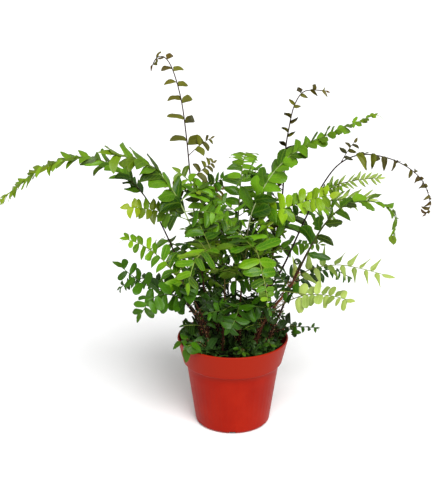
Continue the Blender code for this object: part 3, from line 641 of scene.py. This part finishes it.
fronds = [
    dict(node="frond_tall_left", azimuth=150, stem=(2.4, 1.0), look="frond_bronze", age=1,
         shape=("angled",),
         path=[(30, 92), (37, 144), (46, 210), (53, 269), (57, 308), (63, 348), (73, 379),
               (83, 392), (93, 391), (99, 382)],
         leavesFrom=0.628, leaf=(20, 8), spacing=1.22, width=0.60, sag=0.16, pair=0.6,
         lean=(6, 34), roll=(4, 50),
         pinnae=[(0.42, 1, 44, 15, 50, 10), (0.48, -1, 38, 14, 55, 10), (0.53, 1, 34, 14, 50, 12)],
         extras=[(0.61, 34, 15, dict(way=(0, 46), width=0.48, spacing=0.80,
                                     face=(0.0, -0.6, 0.8)))]),
    dict(node="frond_arch_left", azimuth=176, stem=(2.2, 0.9), tail=3,
         path=[(31, 92), (37, 127), (52, 166), (81, 232), (107, 268), (146, 292), (196, 283),
               (247, 245)],
         leavesFrom=0.49, leaf=(21, 12), spacing=0.36, width=0.46, lean=(50, 54), light=0.45,
         inner=None, tone=0.6, age=1.2),
    dict(node="frond_broad_left", azimuth=200, stem=(2.2, 1.2), stalkLook="pale",
         path=[(27, 92), (33, 160), (43, 216), (66, 267), (92, 296), (126, 309)],
         leavesFrom=0.58, leaf=(33, 18), spacing=0.44, width=0.54, lean=(44, 44),
         pinnae=[(0.40, 1, 48, 16, 55, 0)],
         extras=[(0.56, 66, 15, dict(way=(190, 24), age=1.5, taper=0.75, spacing=0.5, width=0.66,
                                     tone=0.3))]),
    dict(node="frond_inner_left", azimuth=166, stem=(2.0, 1.1),
         path=[(16, 92), (20, 160), (26, 212), (38, 256), (58, 276)],
         leavesFrom=0.60, leaf=(22, 12), spacing=0.56,
         pinnae=[(0.33, 1, 42, 15, 62, 5), (0.44, -1, 50, 18, 60, 5), (0.56, 1, 46, 18, 58, 5)]),
    dict(node="frond_young_right", azimuth=25, stem=(3.0, 1.0), look="frond_bronze", age=1,
         path=[(31, 92), (42, 150), (49, 196), (57, 246), (60, 298), (64, 324), (69, 344),
               (78, 357), (90, 359), (106, 357)],
         leavesFrom=0.63, leaf=(10, 8), spacing=1.60, width=0.50, lean=(30, 30), sag=0.25, fold=0.7,
         pair=0.7, roll=(30, 30), shape=("pointed",),
         pinnae=[(0.38, -1, 44, 15, 55, 0),
                 (0.47, 1, 86, 15, 48, 0, dict(look="frond_green")),
                 (0.55, -1, 40, 9, 60, 5)]),
    dict(node="frond_rising_right", azimuth=345, stem=(2.2, 0.8), stalkLook="pale",
         path=[(11, 92), (9, 150), (17, 226), (29, 260), (48, 290), (78, 315), (141, 347)],
         leavesFrom=0.44, leaf=(27, 6), spacing=0.60, width=0.62, light=0.9, tipLight=0.5,
         lean=(50, 42), tail=12, shape=("round", "lobed", "angled"), tone=0.62,
         pinnae=[(0.22, 1, 44, 15, 62, 5), (0.30, -1, 50, 18, 55, 5), (0.37, 1, 54, 18, 60, 5)],
         extras=[(0.42, 100, 18, dict(way=(-14, 33), look="frond_fresh", tone=0.75, taper=0.7,
                                      spacing=0.48, width=0.60, age=0.7, missing=0.08))]),
    dict(node="frond_arch_right", azimuth=8, stem=(2.8, 0.8), look="frond_bronze", age=1.1,
         stalkLook="black", tone=0.3,
         path=[(17, 92), (32, 138), (53, 173), (77, 228), (95, 265), (113, 287), (138, 295),
               (172, 287), (200, 267), (212, 240), (208, 228)],
         leavesFrom=0.65, leaf=(15, 6), spacing=1.00, width=0.60, sag=0.50, light=0.5, fold=0.5,
         lift=-15, missing=0.12,
         extras=[(0.30, 44, 15, dict(way=(140, 25), look="frond_green")),
                 (0.46, 62, 20, dict(paleStrip, way=(-18, 20), lean=(54, 54), width=0.24,
                                     spacing=0.32)),
                 (0.51, 66, 13, dict(paleStrip, way=(-12, 24), lean=(44, 44), width=0.34,
                                     spacing=0.42)),
                 (0.61, 30, 10, dict(way=(0, 64), spacing=0.85, taper=0.7, tone=0.4))]),
    dict(node="frond_stout_right", azimuth=330, stem=(3.8, 0.9), shape=("angled", "lobed"),
         inner=None, stalkLook="copper",
         path=[(28, 92), (36, 118), (52, 144), (69, 169), (87, 208), (106, 242), (128, 264),
               (156, 271), (177, 262), (178, 240)],
         leavesFrom=0.45, leaf=(22, 11), spacing=0.94, width=0.80, light=1.0, tipLight=0.1,
         lean=(34, 16), tipLean=46, sides=(0.5, 1)),
    dict(node="frond_feather_right", azimuth=350, stem=(1.9, 0.8), look="frond_fresh",
         shape=("fin",),
         path=[(27, 92), (34, 120), (51, 148), (76, 176), (107, 186), (134, 184), (157, 179)],
         leavesFrom=0.42, leaf=(25, 16), spacing=0.66, width=0.32, light=1.0, lean=(14, 18),
         tone=0.55, sag=0.05, leafLook="pale", inner=None),
    dict(node="frond_pale_right", azimuth=323, stem=(1.8, 0.8), look="frond_fresh",
         shape=("block",),
         path=[(27, 92), (34, 116), (60, 146), (89, 165), (117, 172), (141, 173)],
         leavesFrom=0.60, leaf=(15, 10), spacing=0.64, width=0.60, lean=(6, 6), light=1.0, tone=0.5,
         leafLook="pale"),
    dict(node="frond_small_right", azimuth=343, stem=(1.6, 0.9), look="frond_dark",
         path=[(37, 92), (44, 106), (62, 116), (91, 119)],
         leavesFrom=0.45, leaf=(11, 6), spacing=0.95, width=0.56),
    dict(node="frond_low_left", azimuth=207, stem=(2.0, 0.8), look="frond_fresh", age=0.2,
         path=[(28, 92), (35, 123), (52, 158), (67, 179), (83, 199), (103, 216), (119, 224)],
         leavesFrom=0.44, leaf=(22, 10), spacing=0.70, width=0.54, light=0.8,
         shape=("round", "angled"), tail=12),
    dict(node="frond_dark_left", azimuth=194, stem=(2.0, 0.8), look="frond_dark", shape=("round",),
         path=[(33, 92), (40, 120), (52, 140), (70, 154), (90, 162), (106, 174), (119, 186)],
         leavesFrom=0.40, leaf=(24, 13), spacing=0.66, width=0.50, light=0.85, tone=0.75,
         lean=(10, 10), sag=0.2),
    dict(node="frond_drooping_left", azimuth=217, stem=(2.0, 0.8), look="frond_dark",
         shape=("round",),
         path=[(33, 92), (40, 118), (56, 146), (80, 163), (102, 164), (116, 150)],
         leavesFrom=0.42, leaf=(26, 11), spacing=0.62, width=0.54, light=0.7, tone=0.75),
    dict(node="frond_near_left", azimuth=246, stem=(2.0, 0.8), look="frond_fresh", age=0.1,
         path=[(27, 92), (22, 140), (23, 178), (36, 203), (62, 214), (86, 214), (98, 206),
               (105, 193)],
         leavesFrom=0.54, leaf=(35, 14), spacing=0.60, width=0.38, shape=("block", "pointed"),
         lean=(28, 42), roll=(16, -12), tone=0.35, fold=0.4, missing=0.10,
         pinnae=[(0.34, 1, 40, 15, 60, 5, dict(look="frond_green")),
                 (0.44, -1, 44, 16, 55, 5, dict(look="frond_green"))]),
    dict(node="frond_near_bright", azimuth=292, stem=(2.0, 0.6), look="frond_fresh", age=0.1,
         path=[(18, 92), (21, 150), (32, 196), (46, 215), (61, 215), (71, 205), (79, 193),
               (87, 182), (92, 169)],
         leavesFrom=0.68, leaf=(27, 5), spacing=0.62, width=0.58, pair=0.6, lean=(4, 4), tone=0.4,
         shape=("block",),
         pinnae=[(0.42, 1, 48, 16, 60, 0, dict(look="frond_green")),
                 (0.50, -1, 44, 15, 60, 0, dict(look="frond_green"))]),
    dict(node="frond_crown_back", azimuth=82, stem=(2.2, 1.1),
         path=[(14, 92), (22, 150), (34, 208), (52, 250), (78, 274), (106, 276)],
         leavesFrom=0.60, leaf=(25, 12), spacing=0.46, width=0.52, tone=0.8,
         pinnae=[(0.33, -1, 46, 16, 60, 5), (0.42, 1, 56, 19, 58, 5), (0.49, -1, 56, 19, 58, 5),
                 (0.58, 1, 44, 17, 52, 8)]),
    dict(node="frond_back_right", azimuth=48, stem=(2.2, 1.1),
         path=[(26, 92), (44, 146), (74, 190), (112, 214), (150, 210), (178, 190)],
         leavesFrom=0.54, leaf=(20, 10), spacing=0.72, width=0.54,
         pinnae=[(0.36, -1, 54, 17, 58, 5), (0.44, 1, 54, 17, 58, 5)]),
    dict(node="frond_back", azimuth=98, stem=(2.2, 1.1),
         path=[(25, 92), (42, 142), (72, 184), (112, 204), (154, 192), (180, 168)],
         leavesFrom=0.54, leaf=(20, 10), spacing=0.72, width=0.54,
         pinnae=[(0.35, 1, 54, 17, 58, 5), (0.44, -1, 52, 17, 58, 5)]),
    dict(node="frond_back_left", azimuth=130, stem=(2.0, 1.1),
         path=[(27, 92), (44, 132), (76, 166), (116, 176), (152, 158)],
         leavesFrom=0.50, leaf=(19, 10), spacing=0.72, width=0.54,
         pinnae=[(0.34, -1, 46, 16, 60, 5), (0.42, 1, 46, 16, 60, 5)]),
    dict(node="frond_side_left", azimuth=160, stem=(2.0, 1.0), look="frond_dark",
         path=[(35, 92), (48, 122), (76, 146), (110, 150), (134, 136)],
         leavesFrom=0.44, leaf=(16, 8), spacing=0.68),
    dict(node="frond_side_right", azimuth=24, stem=(2.0, 1.0), look="frond_dark",
         path=[(35, 92), (50, 124), (80, 150), (116, 158), (142, 146)],
         leavesFrom=0.44, leaf=(17, 8), spacing=0.68),
    dict(node="frond_front", azimuth=283, swing=-16, stem=(1.9, 0.6), shape=("lobed", "angled"),
         path=[(16, 92), (20, 120), (31, 144), (45, 147), (55, 140), (61, 131)],
         leavesFrom=0.60, leaf=(19, 10), spacing=0.50, width=0.62, tone=0.75, age=0, inner=None,
         leafLook="frond_dark",
         extras=[(0.50, 32, 17, dict(way=(188, 6), look="frond_dark", tone=0.8, age=0)),
                 (0.58, 34, 17, dict(way=(-10, 8), look="frond_dark", tone=0.8, age=0))]),
]
sprigs = [   # small leaves round the rim
    dict(node="sprig_left", azimuth=208, path=[(44, 92), (48, 99), (55, 104), (62, 102)],
         leavesFrom=0.50, leaf=(16, 13), spacing=0.60, tone=0.8, shape=("angled",)),
    dict(node="sprig_near_left", azimuth=226,
         path=[(40, 92), (45, 101), (54, 107), (62, 106), (66, 101)],
         leavesFrom=0.45, leaf=(15, 15), spacing=0.50, width=0.80, lift=-25, tone=0.8,
         shape=("angled",), tail=2),
    dict(node="sprig_front", azimuth=283, path=[(36, 92), (39, 97), (45, 101), (51, 100)],
         leaf=(9, 7), spacing=0.80, within=57),
    dict(node="sprig_near_right", azimuth=318, path=[(38, 92), (42, 99), (49, 104), (55, 104)],
         within=58),
    dict(node="sprig_right", azimuth=4, path=[(42, 92), (46, 99), (56, 105), (68, 102)],
         leaf=(13, 9), width=0.72),
    dict(node="sprig_back_right", azimuth=68, path=[(40, 92), (46, 104), (62, 114), (82, 110)],
         leavesFrom=0.34, leaf=(13, 8)),
    dict(node="sprig_back_left", azimuth=114, path=[(40, 92), (46, 104), (62, 114), (82, 110)],
         leavesFrom=0.34, leaf=(13, 8)),
]
# taper: a pinna's last leaflet as a share of its first. stalk: its bare foot in leaflets. fall: how
# far its end sinks, as a share of its length. level: how far its blade turns level.
sprigUsual = dict(usual, stem=(1.5, 0.9), look="frond_dark", leavesFrom=0.30, leaf=(12, 8),
                  spacing=0.78, width=0.62, shape=("lobed",), inner=None)
pinnaUsual = dict(usual, stem=(1.1, 0.5), spacing=0.60, width=0.54, taper=0.42, stalk=0.45,
                  fall=0.16, level=0.9, age=0.4, face=(0.0, -0.8, 0.6))
# The dense middle reaches so far from the pot's axis at these heights. A pinna grows there every
# so often along a stalk, first and farthest at these places, and grows larger towards the top.
# Their tone runs darker low down, and below a set height they take the dark leaf: painted shade
# deep in the plant.
bush = dict(heights=(112, 150, 200, 240, 268), reach=(60, 52, 50, 50, 38), first=12, every=17.0,
            gap=(0.6, 1.4), end=0.8, rise=(-5, 50), length=(24, 50), leaf=(10, 16), growth=0.7,
            tone=(-0.1, 0.85), toneSpread=0.25, paintedShadeBelow=168, tries=12)
light = Vector((0.0, -0.7, 0.7))   # where the blades turn to
toLight = 0.75   # how far a blade turns to the light where it has no light of its own
soilFoot = 72.0   # how deep the stalks stand in the soil
plantSeed = 7


def smoothPath(path, steps=10):
    # a Catmull-Rom curve through the points of a path
    ends = [path[0]] + list(path) + [path[-1]]
    points = []
    for index in range(len(path) - 1):
        a, b, c, d = (Vector(point) for point in ends[index:index + 4])
        for step in range(steps):
            t = step / steps
            points.append(0.5 * (2 * b + (c - a) * t + (2 * a - 5 * b + 4 * c - d) * t * t
                                 + (3 * b - a - 3 * c + d) * t ** 3))
    points.append(Vector(path[-1]))
    return points


def frondCourse(frond):
    flat = smoothPath(frond["path"])
    points = []
    for index, (reach, height) in enumerate(flat):
        azimuth = math.radians(frond["azimuth"] + frond["swing"] * (index / (len(flat) - 1)) ** 2)
        points.append(Vector((reach * math.cos(azimuth), reach * math.sin(azimuth), height)))
    return points


def courseLength(points):
    return sum((after - before).length for before, after in zip(points, points[1:]))


def pointAlong(points, distance):
    left = max(distance, 0.0)
    for before, after in zip(points, points[1:]):
        step = (after - before).length
        if left <= step:
            return before.lerp(after, left / step)
        left -= step
    return points[-1].copy()


def stationAt(points, distance, side, share):
    # place, direction, side and up of a rib, turned part of the way to the light
    along = (pointAlong(points, distance + 1.5) - pointAlong(points, distance - 1.5)).normalized()
    up = side.cross(along).normalized()
    if share:
        away = light - along * light.dot(along)
        angle = math.atan2(along.dot(up.cross(away)), up.dot(away))
        up = Matrix.Rotation(angle * share, 3, along) @ up
    return pointAlong(points, distance), along, along.cross(up), up


def touchesPot(first, last):
    # whether a leaf between two places would meet the pot's wall
    for share in (0.4, 0.7, 1.0):
        point = first.lerp(last, share)
        reach = point.xy.length
        inWall = potInside(point.z) - 1.5 < reach < pot["rim"] + 1.5
        if inWall and point.z < pot["height"] + 1:
            return True
    return False


# How far one leaflet differs from the next: angles in degrees, the rest as shares or factors
leafSpread = dict(lean=(-10, 10), pitch=(-22, 20), roll=(-28, 28), fold=(0.3, 2.8),
                  crown=(0.05, 0.50), wave=(0.04, 0.22), phase=(0, 6.28), twist=(-26, 26),
                  sag=(-0.10, 0.16), tone=0.26, age=(0.4, 1.0), size=(0.85, 1.12))


def growLeaflets(spray, settings, points, side, start, light01, draw, newness):
    # leaflets on alternate sides of a rib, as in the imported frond, each a little different
    def vary(key):
        return draw.uniform(*leafSpread[key])

    length = courseLength(points)
    first, last = settings["leaf"]
    base, tip = settings["stem"]
    distance = start
    hand = 1
    while True:
        share = (distance - start) / (length - start)
        leaf = first + (last - first) * share
        step = settings["spacing"] * leaf / 2
        if distance + 0.4 * step > length - 0.2 * last:
            break
        middle = distance + 0.5 * step
        sideAt = 0 if hand > 0 else 1
        turned = light01 * min(middle / start, 1.0) * (1 + (settings["tipLight"] - 1) * share)
        place, along, across, up = stationAt(points, middle, side, turned)
        out = across * hand
        lean = math.radians(settings["lean"][sideAt] + settings["tipLean"] * share + vary("lean"))
        reach = out * math.cos(lean) + along * math.sin(lean)
        tipward = along * math.cos(lean) - out * math.sin(lean)
        pitch = math.radians(settings["lift"] + vary("pitch"))
        roll = Matrix.Rotation(math.radians(settings["roll"][sideAt] + vary("roll")), 3, reach)
        raised = (reach * math.cos(pitch) + up * math.sin(pitch)).normalized()
        tipward = (roll @ tipward).normalized()
        reach = (raised - tipward * raised.dot(tipward)).normalized()
        upward = tipward.cross(reach) if hand > 0 else reach.cross(tipward)
        upward = upward if upward.dot(up) > 0 else -upward
        if draw.random() < settings["missing"]:
            distance += step
            hand = -hand
            continue
        form = dict(fold=settings["fold"] * vary("fold"), crown=vary("crown"), wave=vary("wave"),
                    phase=vary("phase"), twist=vary("twist") * hand,
                    sag=settings["sag"] + vary("sag"),
                    tone=min(max(draw.gauss(settings["tone"], leafSpread["tone"]), 0.0), 1.0),
                    age=newness * share ** 1.5 * vary("age"))
        end = place + reach * leaf
        if not touchesPot(place, end) and end.xy.length < settings["within"]:
            ribWidth = base + (tip - base) * middle / length
            width = settings["width"] * settings["sides"][sideAt] * leaf
            addLeaflet(spray, draw.choice(settings["shape"]), place + out * ribWidth * 0.25,
                       reach, tipward, upward, leaf * vary("size"), width * vary("size"), form)
        distance += step * (1 - settings["pair"] * hand)
        hand = -hand
    if touchesPot(points[-2], points[-1]):
        return
    place, along, across, up = stationAt(points, length - 0.5, side, light01)
    form = dict(fold=0.2, crown=0.2, wave=0.05, phase=0.0, twist=0.0, sag=settings["sag"],
                tone=0.55, age=newness)
    addLeaflet(spray, "pointed", place, along, across, up, last * 0.9, settings["width"] * last,
               form)


def stalkCourse(points, settings, riseFrom, riseTo, tail=0.0, step=4.0):
    # rise runs from 0 at a stalk's foot to 1 at its tip, and picks its colour
    length = courseLength(points)
    base, tip = settings["stem"]
    count = max(int(length / step), 3)
    course = []
    for index in range(count + 1):
        share = index / count
        radius = (base + (tip - base) * share ** 0.8) / 2
        rise = riseFrom + (riseTo - riseFrom) * share
        course.append((pointAlong(points, length * share), radius, rise))
    if tail:
        way = (points[-1] - points[-2]).normalized()
        place = points[-1]
        for index in range(4):
            way = (way + Vector((0, 0, -0.35))).normalized()
            place = place + way * tail / 4
            course.append((place, tip * (0.36 - 0.08 * index), riseTo))
    return course


def direction(azimuth, rise):
    return Vector((math.cos(azimuth) * math.cos(rise), math.sin(azimuth) * math.cos(rise),
                   math.sin(rise)))


def pinnaPoints(root, way, length):
    # a stalk that leaves its root along way and sinks to its end
    bend = root + way * length / 2
    end = root + way * length + Vector((0, 0, -pinnaUsual["fall"] * length))
    return [root * (1 - t) ** 2 + bend * 2 * t * (1 - t) + end * t * t
            for t in (step / 12 for step in range(13))]


def pinnaForm(frond, points, sideways, light01, pinna, turn, angleChange, scale):
    share, hand, length, _, angle, rise = pinna[:6]
    whole = courseLength(points)
    start = frond["leavesFrom"] * whole
    root, along, side, up = stationAt(points, share * whole, sideways,
                                      light01 * min(share * whole / start, 1.0))
    off = math.radians(angle + angleChange)
    way = along * math.cos(off) + side * hand * math.sin(off)
    way = (way + up * math.sin(math.radians(rise))).normalized()
    way = Matrix.Rotation(math.radians(turn) * hand, 3, along) @ way
    face = (up + Vector((0, 0, pinnaUsual["level"]))).normalized()
    return pinnaPoints(root, way, length * scale), way.cross(face).normalized()


def freePinna(points, share, length, own):
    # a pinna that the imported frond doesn't have, given by its own azimuth, rise and facing
    way = direction(*(math.radians(value) for value in own["way"]))
    root = pointAlong(points, share * courseLength(points))
    face = Vector(own.get("face", pinnaUsual["face"]))
    return pinnaPoints(root, way, length), way.cross(face).normalized()


def nearestPinna(frond, points, sideways, light01, pinna, solid):
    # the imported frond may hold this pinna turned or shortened, so the nearest form is taken
    best = None
    for scale in (1.0, 0.75, 0.5):
        for angleChange in (0, -14, 14):
            for turn in (0, 12, -12, 24, -24, 36, -36, 50, -50):
                course, side = pinnaForm(frond, points, sideways, light01, pinna, turn,
                                         angleChange, scale)
                away = sum(solid.find_nearest(place * mm)[3] for place in course[4::2])
                away -= 0.0002 * scale
                if best is None or away < best[0]:
                    best = (away, course, side)
    return best[1:]


def growPinna(spray, stalks, course, side, leaf, rise, draw, own):
    settings = dict(pinnaUsual, **own)
    settings["leaf"] = (leaf, settings["taper"] * leaf)
    growLeaflets(spray, settings, course, side, pinnaUsual["stalk"] * leaf, 0.0, draw,
                 settings["age"])
    stalks.append(stalkCourse(course, settings, rise, 1.0, step=5.0))


def stemScales(spray, points, height, width, draw):
    # chaffy scales that stand off the foot of a stalk, thinner the higher they are
    length = min(courseLength(points), height)
    sideways = Vector((1, 0.2, 0)).normalized()
    distance = 1.0
    while distance < length:
        place, along, across, up = stationAt(points, distance, sideways, 0.0)
        out = Matrix.Rotation(draw.uniform(0, 2 * math.pi), 3, along) @ across
        off = draw.uniform(0.4, 0.9)
        reach = (along * math.cos(off) + out * math.sin(off)).normalized()
        side = along.cross(out).normalized()
        form = dict(fold=0.2, crown=0.1, wave=0, phase=0, twist=0, sag=0.1, tone=draw.random(),
                    age=0)
        addLeaflet(spray, "pointed", place + out * width * 0.4, reach, side, reach.cross(side),
                   draw.uniform(0.9, 1.8) * width, draw.uniform(0.3, 0.55) * width, form)
        distance += draw.uniform(0.4, 1.0) * (1 + distance / height)


def bushRadius(height):
    # how far the dense middle of the plant reaches from the pot's axis
    return float(np.interp(height, bush["heights"], bush["reach"]))


def growInner(frond, points, sprays, stalks, draw):
    # short side pinnae that fill the middle of the plant, all along the stalk where it passes;
    # low down they are darker, painted shade deep in the plant
    low, high = bush["heights"][0], bush["heights"][-1]
    distance = bush["first"] + draw.uniform(0, bush["every"])
    length = courseLength(points) * bush["end"]
    while distance < length:
        root = pointAlong(points, distance)
        distance += bush["every"] * draw.uniform(*bush["gap"])
        if not low < root.z < high:
            continue
        for attempt in range(bush["tries"]):
            around = draw.uniform(0, 2 * math.pi)
            way = direction(around, math.radians(draw.uniform(*bush["rise"])))
            reach = draw.uniform(*bush["length"])
            end = root + way * reach
            if math.hypot(end.x, end.y) < bushRadius(end.z):
                break
        else:
            continue
        side = way.cross(Vector((draw.uniform(-0.3, 0.3), -0.5, 0.8))).normalized()
        # tone rises with height, and low pinnae take the dark leaf: painted shade
        share = (root.z - low) / (high - low)
        tone = bush["tone"][0] + (bush["tone"][1] - bush["tone"][0]) * share
        leaf = draw.uniform(*bush["leaf"]) * (1 + bush["growth"] * share)
        dark = root.z < bush["paintedShadeBelow"]
        look = "frond_dark" if dark else frond["inner"]
        age = draw.choice((0.0, 0.1, 0.2 if dark else 0.7))
        tone += 0.25 * dark + draw.uniform(-bush["toneSpread"], bush["toneSpread"])
        growPinna(sprays.setdefault(look, newSpray()), stalks, pinnaPoints(root, way, reach), side,
                  leaf, 0.6, draw, dict(age=age, tone=tone))


def packedTree(node):
    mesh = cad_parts[node].data
    return BVHTree.FromPolygons([vertex.co.copy() for vertex in mesh.vertices],
                                [tuple(face.vertices) for face in mesh.polygons])


# Chaffy scale: thin dead tissue, reddish brown and matt.
scaleSkin = dict(stops=((0.0, "#44200F"), (0.5, "#84492A"), (1.0, "#C8966A")), roughness=0.7)


def scaleMaterial():
    material, shader, add = newMaterial("chaffyScale")
    tone = add("Attribute", out="Fac", attribute_name="tone")
    colour = add("ValToRGB", [tone], stops=scaleSkin["stops"])
    feed(shader, {"Base Color": colour, "Roughness": scaleSkin["roughness"]})
    return material


scaleLook = scaleMaterial()
stoutStem = 2.8   # a stalk thicker than this is scaly higher up
scalyHeights = dict(stout=105, thin=50)
pinnaRise = 0.72   # where a pinna's stalk at least begins in the colours of a stalk


def growFrond(frond, index):
    draw = random.Random(plantSeed + 31 * index)
    points = frondCourse(frond)
    azimuth = math.radians(frond["azimuth"] + frond["swing"] / 2)
    sideways = Vector((math.sin(azimuth), -math.cos(azimuth), 0.0))
    light01 = frond["light"]
    if light01 is None:
        light01 = toLight * min(1.0, 1.0 + math.sin(azimuth))
    length = courseLength(points)
    start = frond["leavesFrom"] * length
    spray = newSpray()
    growLeaflets(spray, frond, points, sideways, start, light01, draw, frond["age"])
    foot = Vector((points[0].x, points[0].y, soilFoot))
    stalks = [[(foot, frond["stem"][0] / 2, 0.0)]
              + stalkCourse(points, frond, 0.0, 1.0, frond["tail"])]
    solid = packedTree(frond["node"])
    sprays = {frond["leafLook"] or frond["look"]: spray}
    pinnae = [(pinna[0], pinna[3], nearestPinna(frond, points, sideways, light01, pinna, solid),
               *pinna[6:]) for pinna in frond["pinnae"]]
    pinnae += [(share, leaf, freePinna(points, share, length, own), own)
               for share, length, leaf, own in frond["extras"]]
    for share, leaf, (course, side), *changes in pinnae:
        own = dict(pinnaUsual, shape=frond["shape"], look=frond["look"])
        own.update(*changes)
        growPinna(sprays.setdefault(own["look"], newSpray()), stalks, course, side, leaf,
                  max(share, pinnaRise), draw, own)
    if frond["inner"]:
        growInner(frond, points, sprays, stalks, draw)
    parts = [sprayObject(frond["node"] + "_" + look, spray, leafMaterials[look])
             for look, spray in sprays.items() if spray["count"]]
    stalk = stalkObject(frond["node"] + "_stalk", stalks,
                        stemMaterials[frond["stalkLook"] or frond["look"]])
    chaff = newSpray()
    scaly = scalyHeights["stout" if frond["stem"][0] > stoutStem else "thin"]
    stemScales(chaff, points, scaly, frond["stem"][0], draw)
    scales = sprayObject(frond["node"] + "_scales", chaff, scaleLook)
    whole = joined(parts + [stalk, scales], "leafy_" + frond["node"])
    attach(whole, "root")
    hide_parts(frond["node"])


for index, frond in enumerate(fronds):
    growFrond(dict(usual, **frond), index)
for index, sprig in enumerate(sprigs):
    growFrond(dict(sprigUsual, **sprig), 100 + index)
stage("fronds grown")


# The young frond that is still rolled up
fiddlehead = dict(azimuth=335, stem=(2.6, 1.9), turns=1.4, radii=(3.7, 1.0), steps=28, seed=91,
                  path=[(38, 92), (46, 112), (58, 142), (68, 170), (76, 192)],
                  scaly=0.8, scaleWidth=2.2)


def growFiddlehead():
    draw = random.Random(fiddlehead["seed"])
    path = list(fiddlehead["path"])
    top = Vector(path[-1])
    way = (top - Vector(path[-2])).normalized()
    start, end = fiddlehead["radii"]
    centre = top + Vector((-way.y, way.x)) * start
    first = (top - centre).angle_signed(Vector((1.0, 0.0)))
    for step in range(1, fiddlehead["steps"] + 1):
        share = step / fiddlehead["steps"]
        radius = start + (end - start) * share
        angle = first + 2 * math.pi * fiddlehead["turns"] * share
        path.append((centre.x + radius * math.cos(angle), centre.y + radius * math.sin(angle)))
    points = frondCourse(dict(usual, azimuth=fiddlehead["azimuth"], path=path))
    foot = Vector((points[0].x, points[0].y, soilFoot))
    course = [(foot, fiddlehead["stem"][0] / 2, 0.0)]
    course += stalkCourse(points, fiddlehead, 0.0, 0.8, step=1.0)
    stalk = stalkObject("fiddlehead_stalk", [course], stemMaterials["frond_dark"])
    chaff = newSpray()
    stemScales(chaff, points, courseLength(points) * fiddlehead["scaly"],
               fiddlehead["scaleWidth"], draw)
    scales = sprayObject("fiddlehead_scales", chaff, scaleLook)
    whole = joined([stalk, scales], "rolled_frond")
    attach(whole, "root")
    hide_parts("fiddlehead")


growFiddlehead()
stage("fiddlehead rolled")


# Small plants that fill the rim: short stalks with a few lobed leaves
rimUsual = dict(rise=(0.6, 1.8), length=(14, 26), leaf=(10, 15), tone=0.4, look="rim",
                within=57)
rimShapes = ("lobed", "round", "angled")
rimSeed = 55
rimGroups = [   # azimuths, distances from the axis, farthest end of a stalk, count
    dict(name="rim_leaves_left", azimuth=(150, 246), radius=(26, 50), end=50, count=32,
         leaf=(13, 19), tone=0.6),
    dict(name="rim_leaves_front", azimuth=(246, 292), radius=(26, 46), end=47, count=9),
    dict(name="rim_leaves_right", azimuth=(-60, 30), radius=(26, 50), end=50, count=40),
    dict(name="rim_leaves_back", azimuth=(32, 148), radius=(34, 52), end=54, count=18),
    dict(name="rim_leaves_middle", azimuth=(180, 360), radius=(4, 32), end=46, count=26,
         rise=(1.4, 3.0), length=(18, 34), leaf=(10, 15), tone=0.3),
]


def growRim(group, draw):
    spray, stalks = newSpray(), []
    for index in range(group["count"]):
        azimuth = math.radians(draw.uniform(*group["azimuth"]))
        reach = draw.uniform(*group["radius"])
        root = Vector((reach * math.cos(azimuth), reach * math.sin(azimuth), soil["edge"] - 1))
        turn = azimuth + draw.uniform(-1.4, 1.4)
        way = Vector((math.cos(turn), math.sin(turn), draw.uniform(*group["rise"]))).normalized()
        length = draw.uniform(*group["length"])
        end = root + way * length
        over = math.hypot(end.x, end.y) - group["end"]
        if over > 0:
            way = (way - Vector((end.x, end.y, 0)).normalized() * over / length).normalized()
        side = way.cross(Vector((0, -0.4, 1))).normalized()
        growPinna(spray, stalks, pinnaPoints(root, way, length), side,
                  draw.uniform(*group["leaf"]), 0.5, draw,
                  dict(shape=rimShapes, tone=group["tone"], within=group["within"]))
    leaves = sprayObject(group["name"], spray, leafMaterials[group["look"]])
    stalk = stalkObject(group["name"] + "_stalks", stalks, stemMaterials["frond_dark"])
    whole = joined([leaves, stalk], group["name"])
    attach(whole, "root")


rimDraw = random.Random(rimSeed)
for group in rimGroups:
    growRim(dict(rimUsual, **group), rimDraw)
stage("rim leaves grown")


# Floor, light and camera
studio = dict(floorSize=30.0, floorColour="#FCFCFC", worldStrength=0.45, sunStrength=3.7,
              sunSpread=40, sunTilt=(42, 0, 16), cameraPlace=(0.0, -1.05, 0.5415),
              cameraDown=18.09, cameraTurn=0.905, lens=76.1)


def makeStudio():
    nothingSelected()
    bpy.ops.mesh.primitive_plane_add(size=studio["floorSize"], location=(0, 0, 0))
    floor = bpy.context.object
    floor.name = "floor"
    # Matt white card: it gives an even, pale ground with a soft shadow
    material, shader, _ = newMaterial("mattWhiteCard")
    feed(shader, {"Base Color": hexColour(studio["floorColour"]), "Roughness": 0.9})
    floor.data.materials.append(material)

    scene = bpy.context.scene
    scene.world = bpy.data.worlds.new("studio")
    scene.world.use_nodes = True
    background = scene.world.node_tree.nodes["Background"]
    feed(background, {"Color": (1, 1, 1, 1), "Strength": studio["worldStrength"]})
    bpy.ops.object.light_add(type="SUN", location=(0, 0, 2),
                             rotation=[math.radians(value) for value in studio["sunTilt"]])
    sun = bpy.context.object.data
    sun.energy = studio["sunStrength"]
    sun.angle = math.radians(studio["sunSpread"])
    scene.view_settings.view_transform = "Standard"

    bpy.ops.object.camera_add(location=studio["cameraPlace"],
                              rotation=(math.radians(90 - studio["cameraDown"]), 0,
                                        math.radians(studio["cameraTurn"])))
    camera = bpy.context.object
    camera.data.lens = studio["lens"]
    camera.data.sensor_width = 36
    camera.data.clip_start = 0.01
    scene.camera = camera


makeStudio()
stage("studio set")
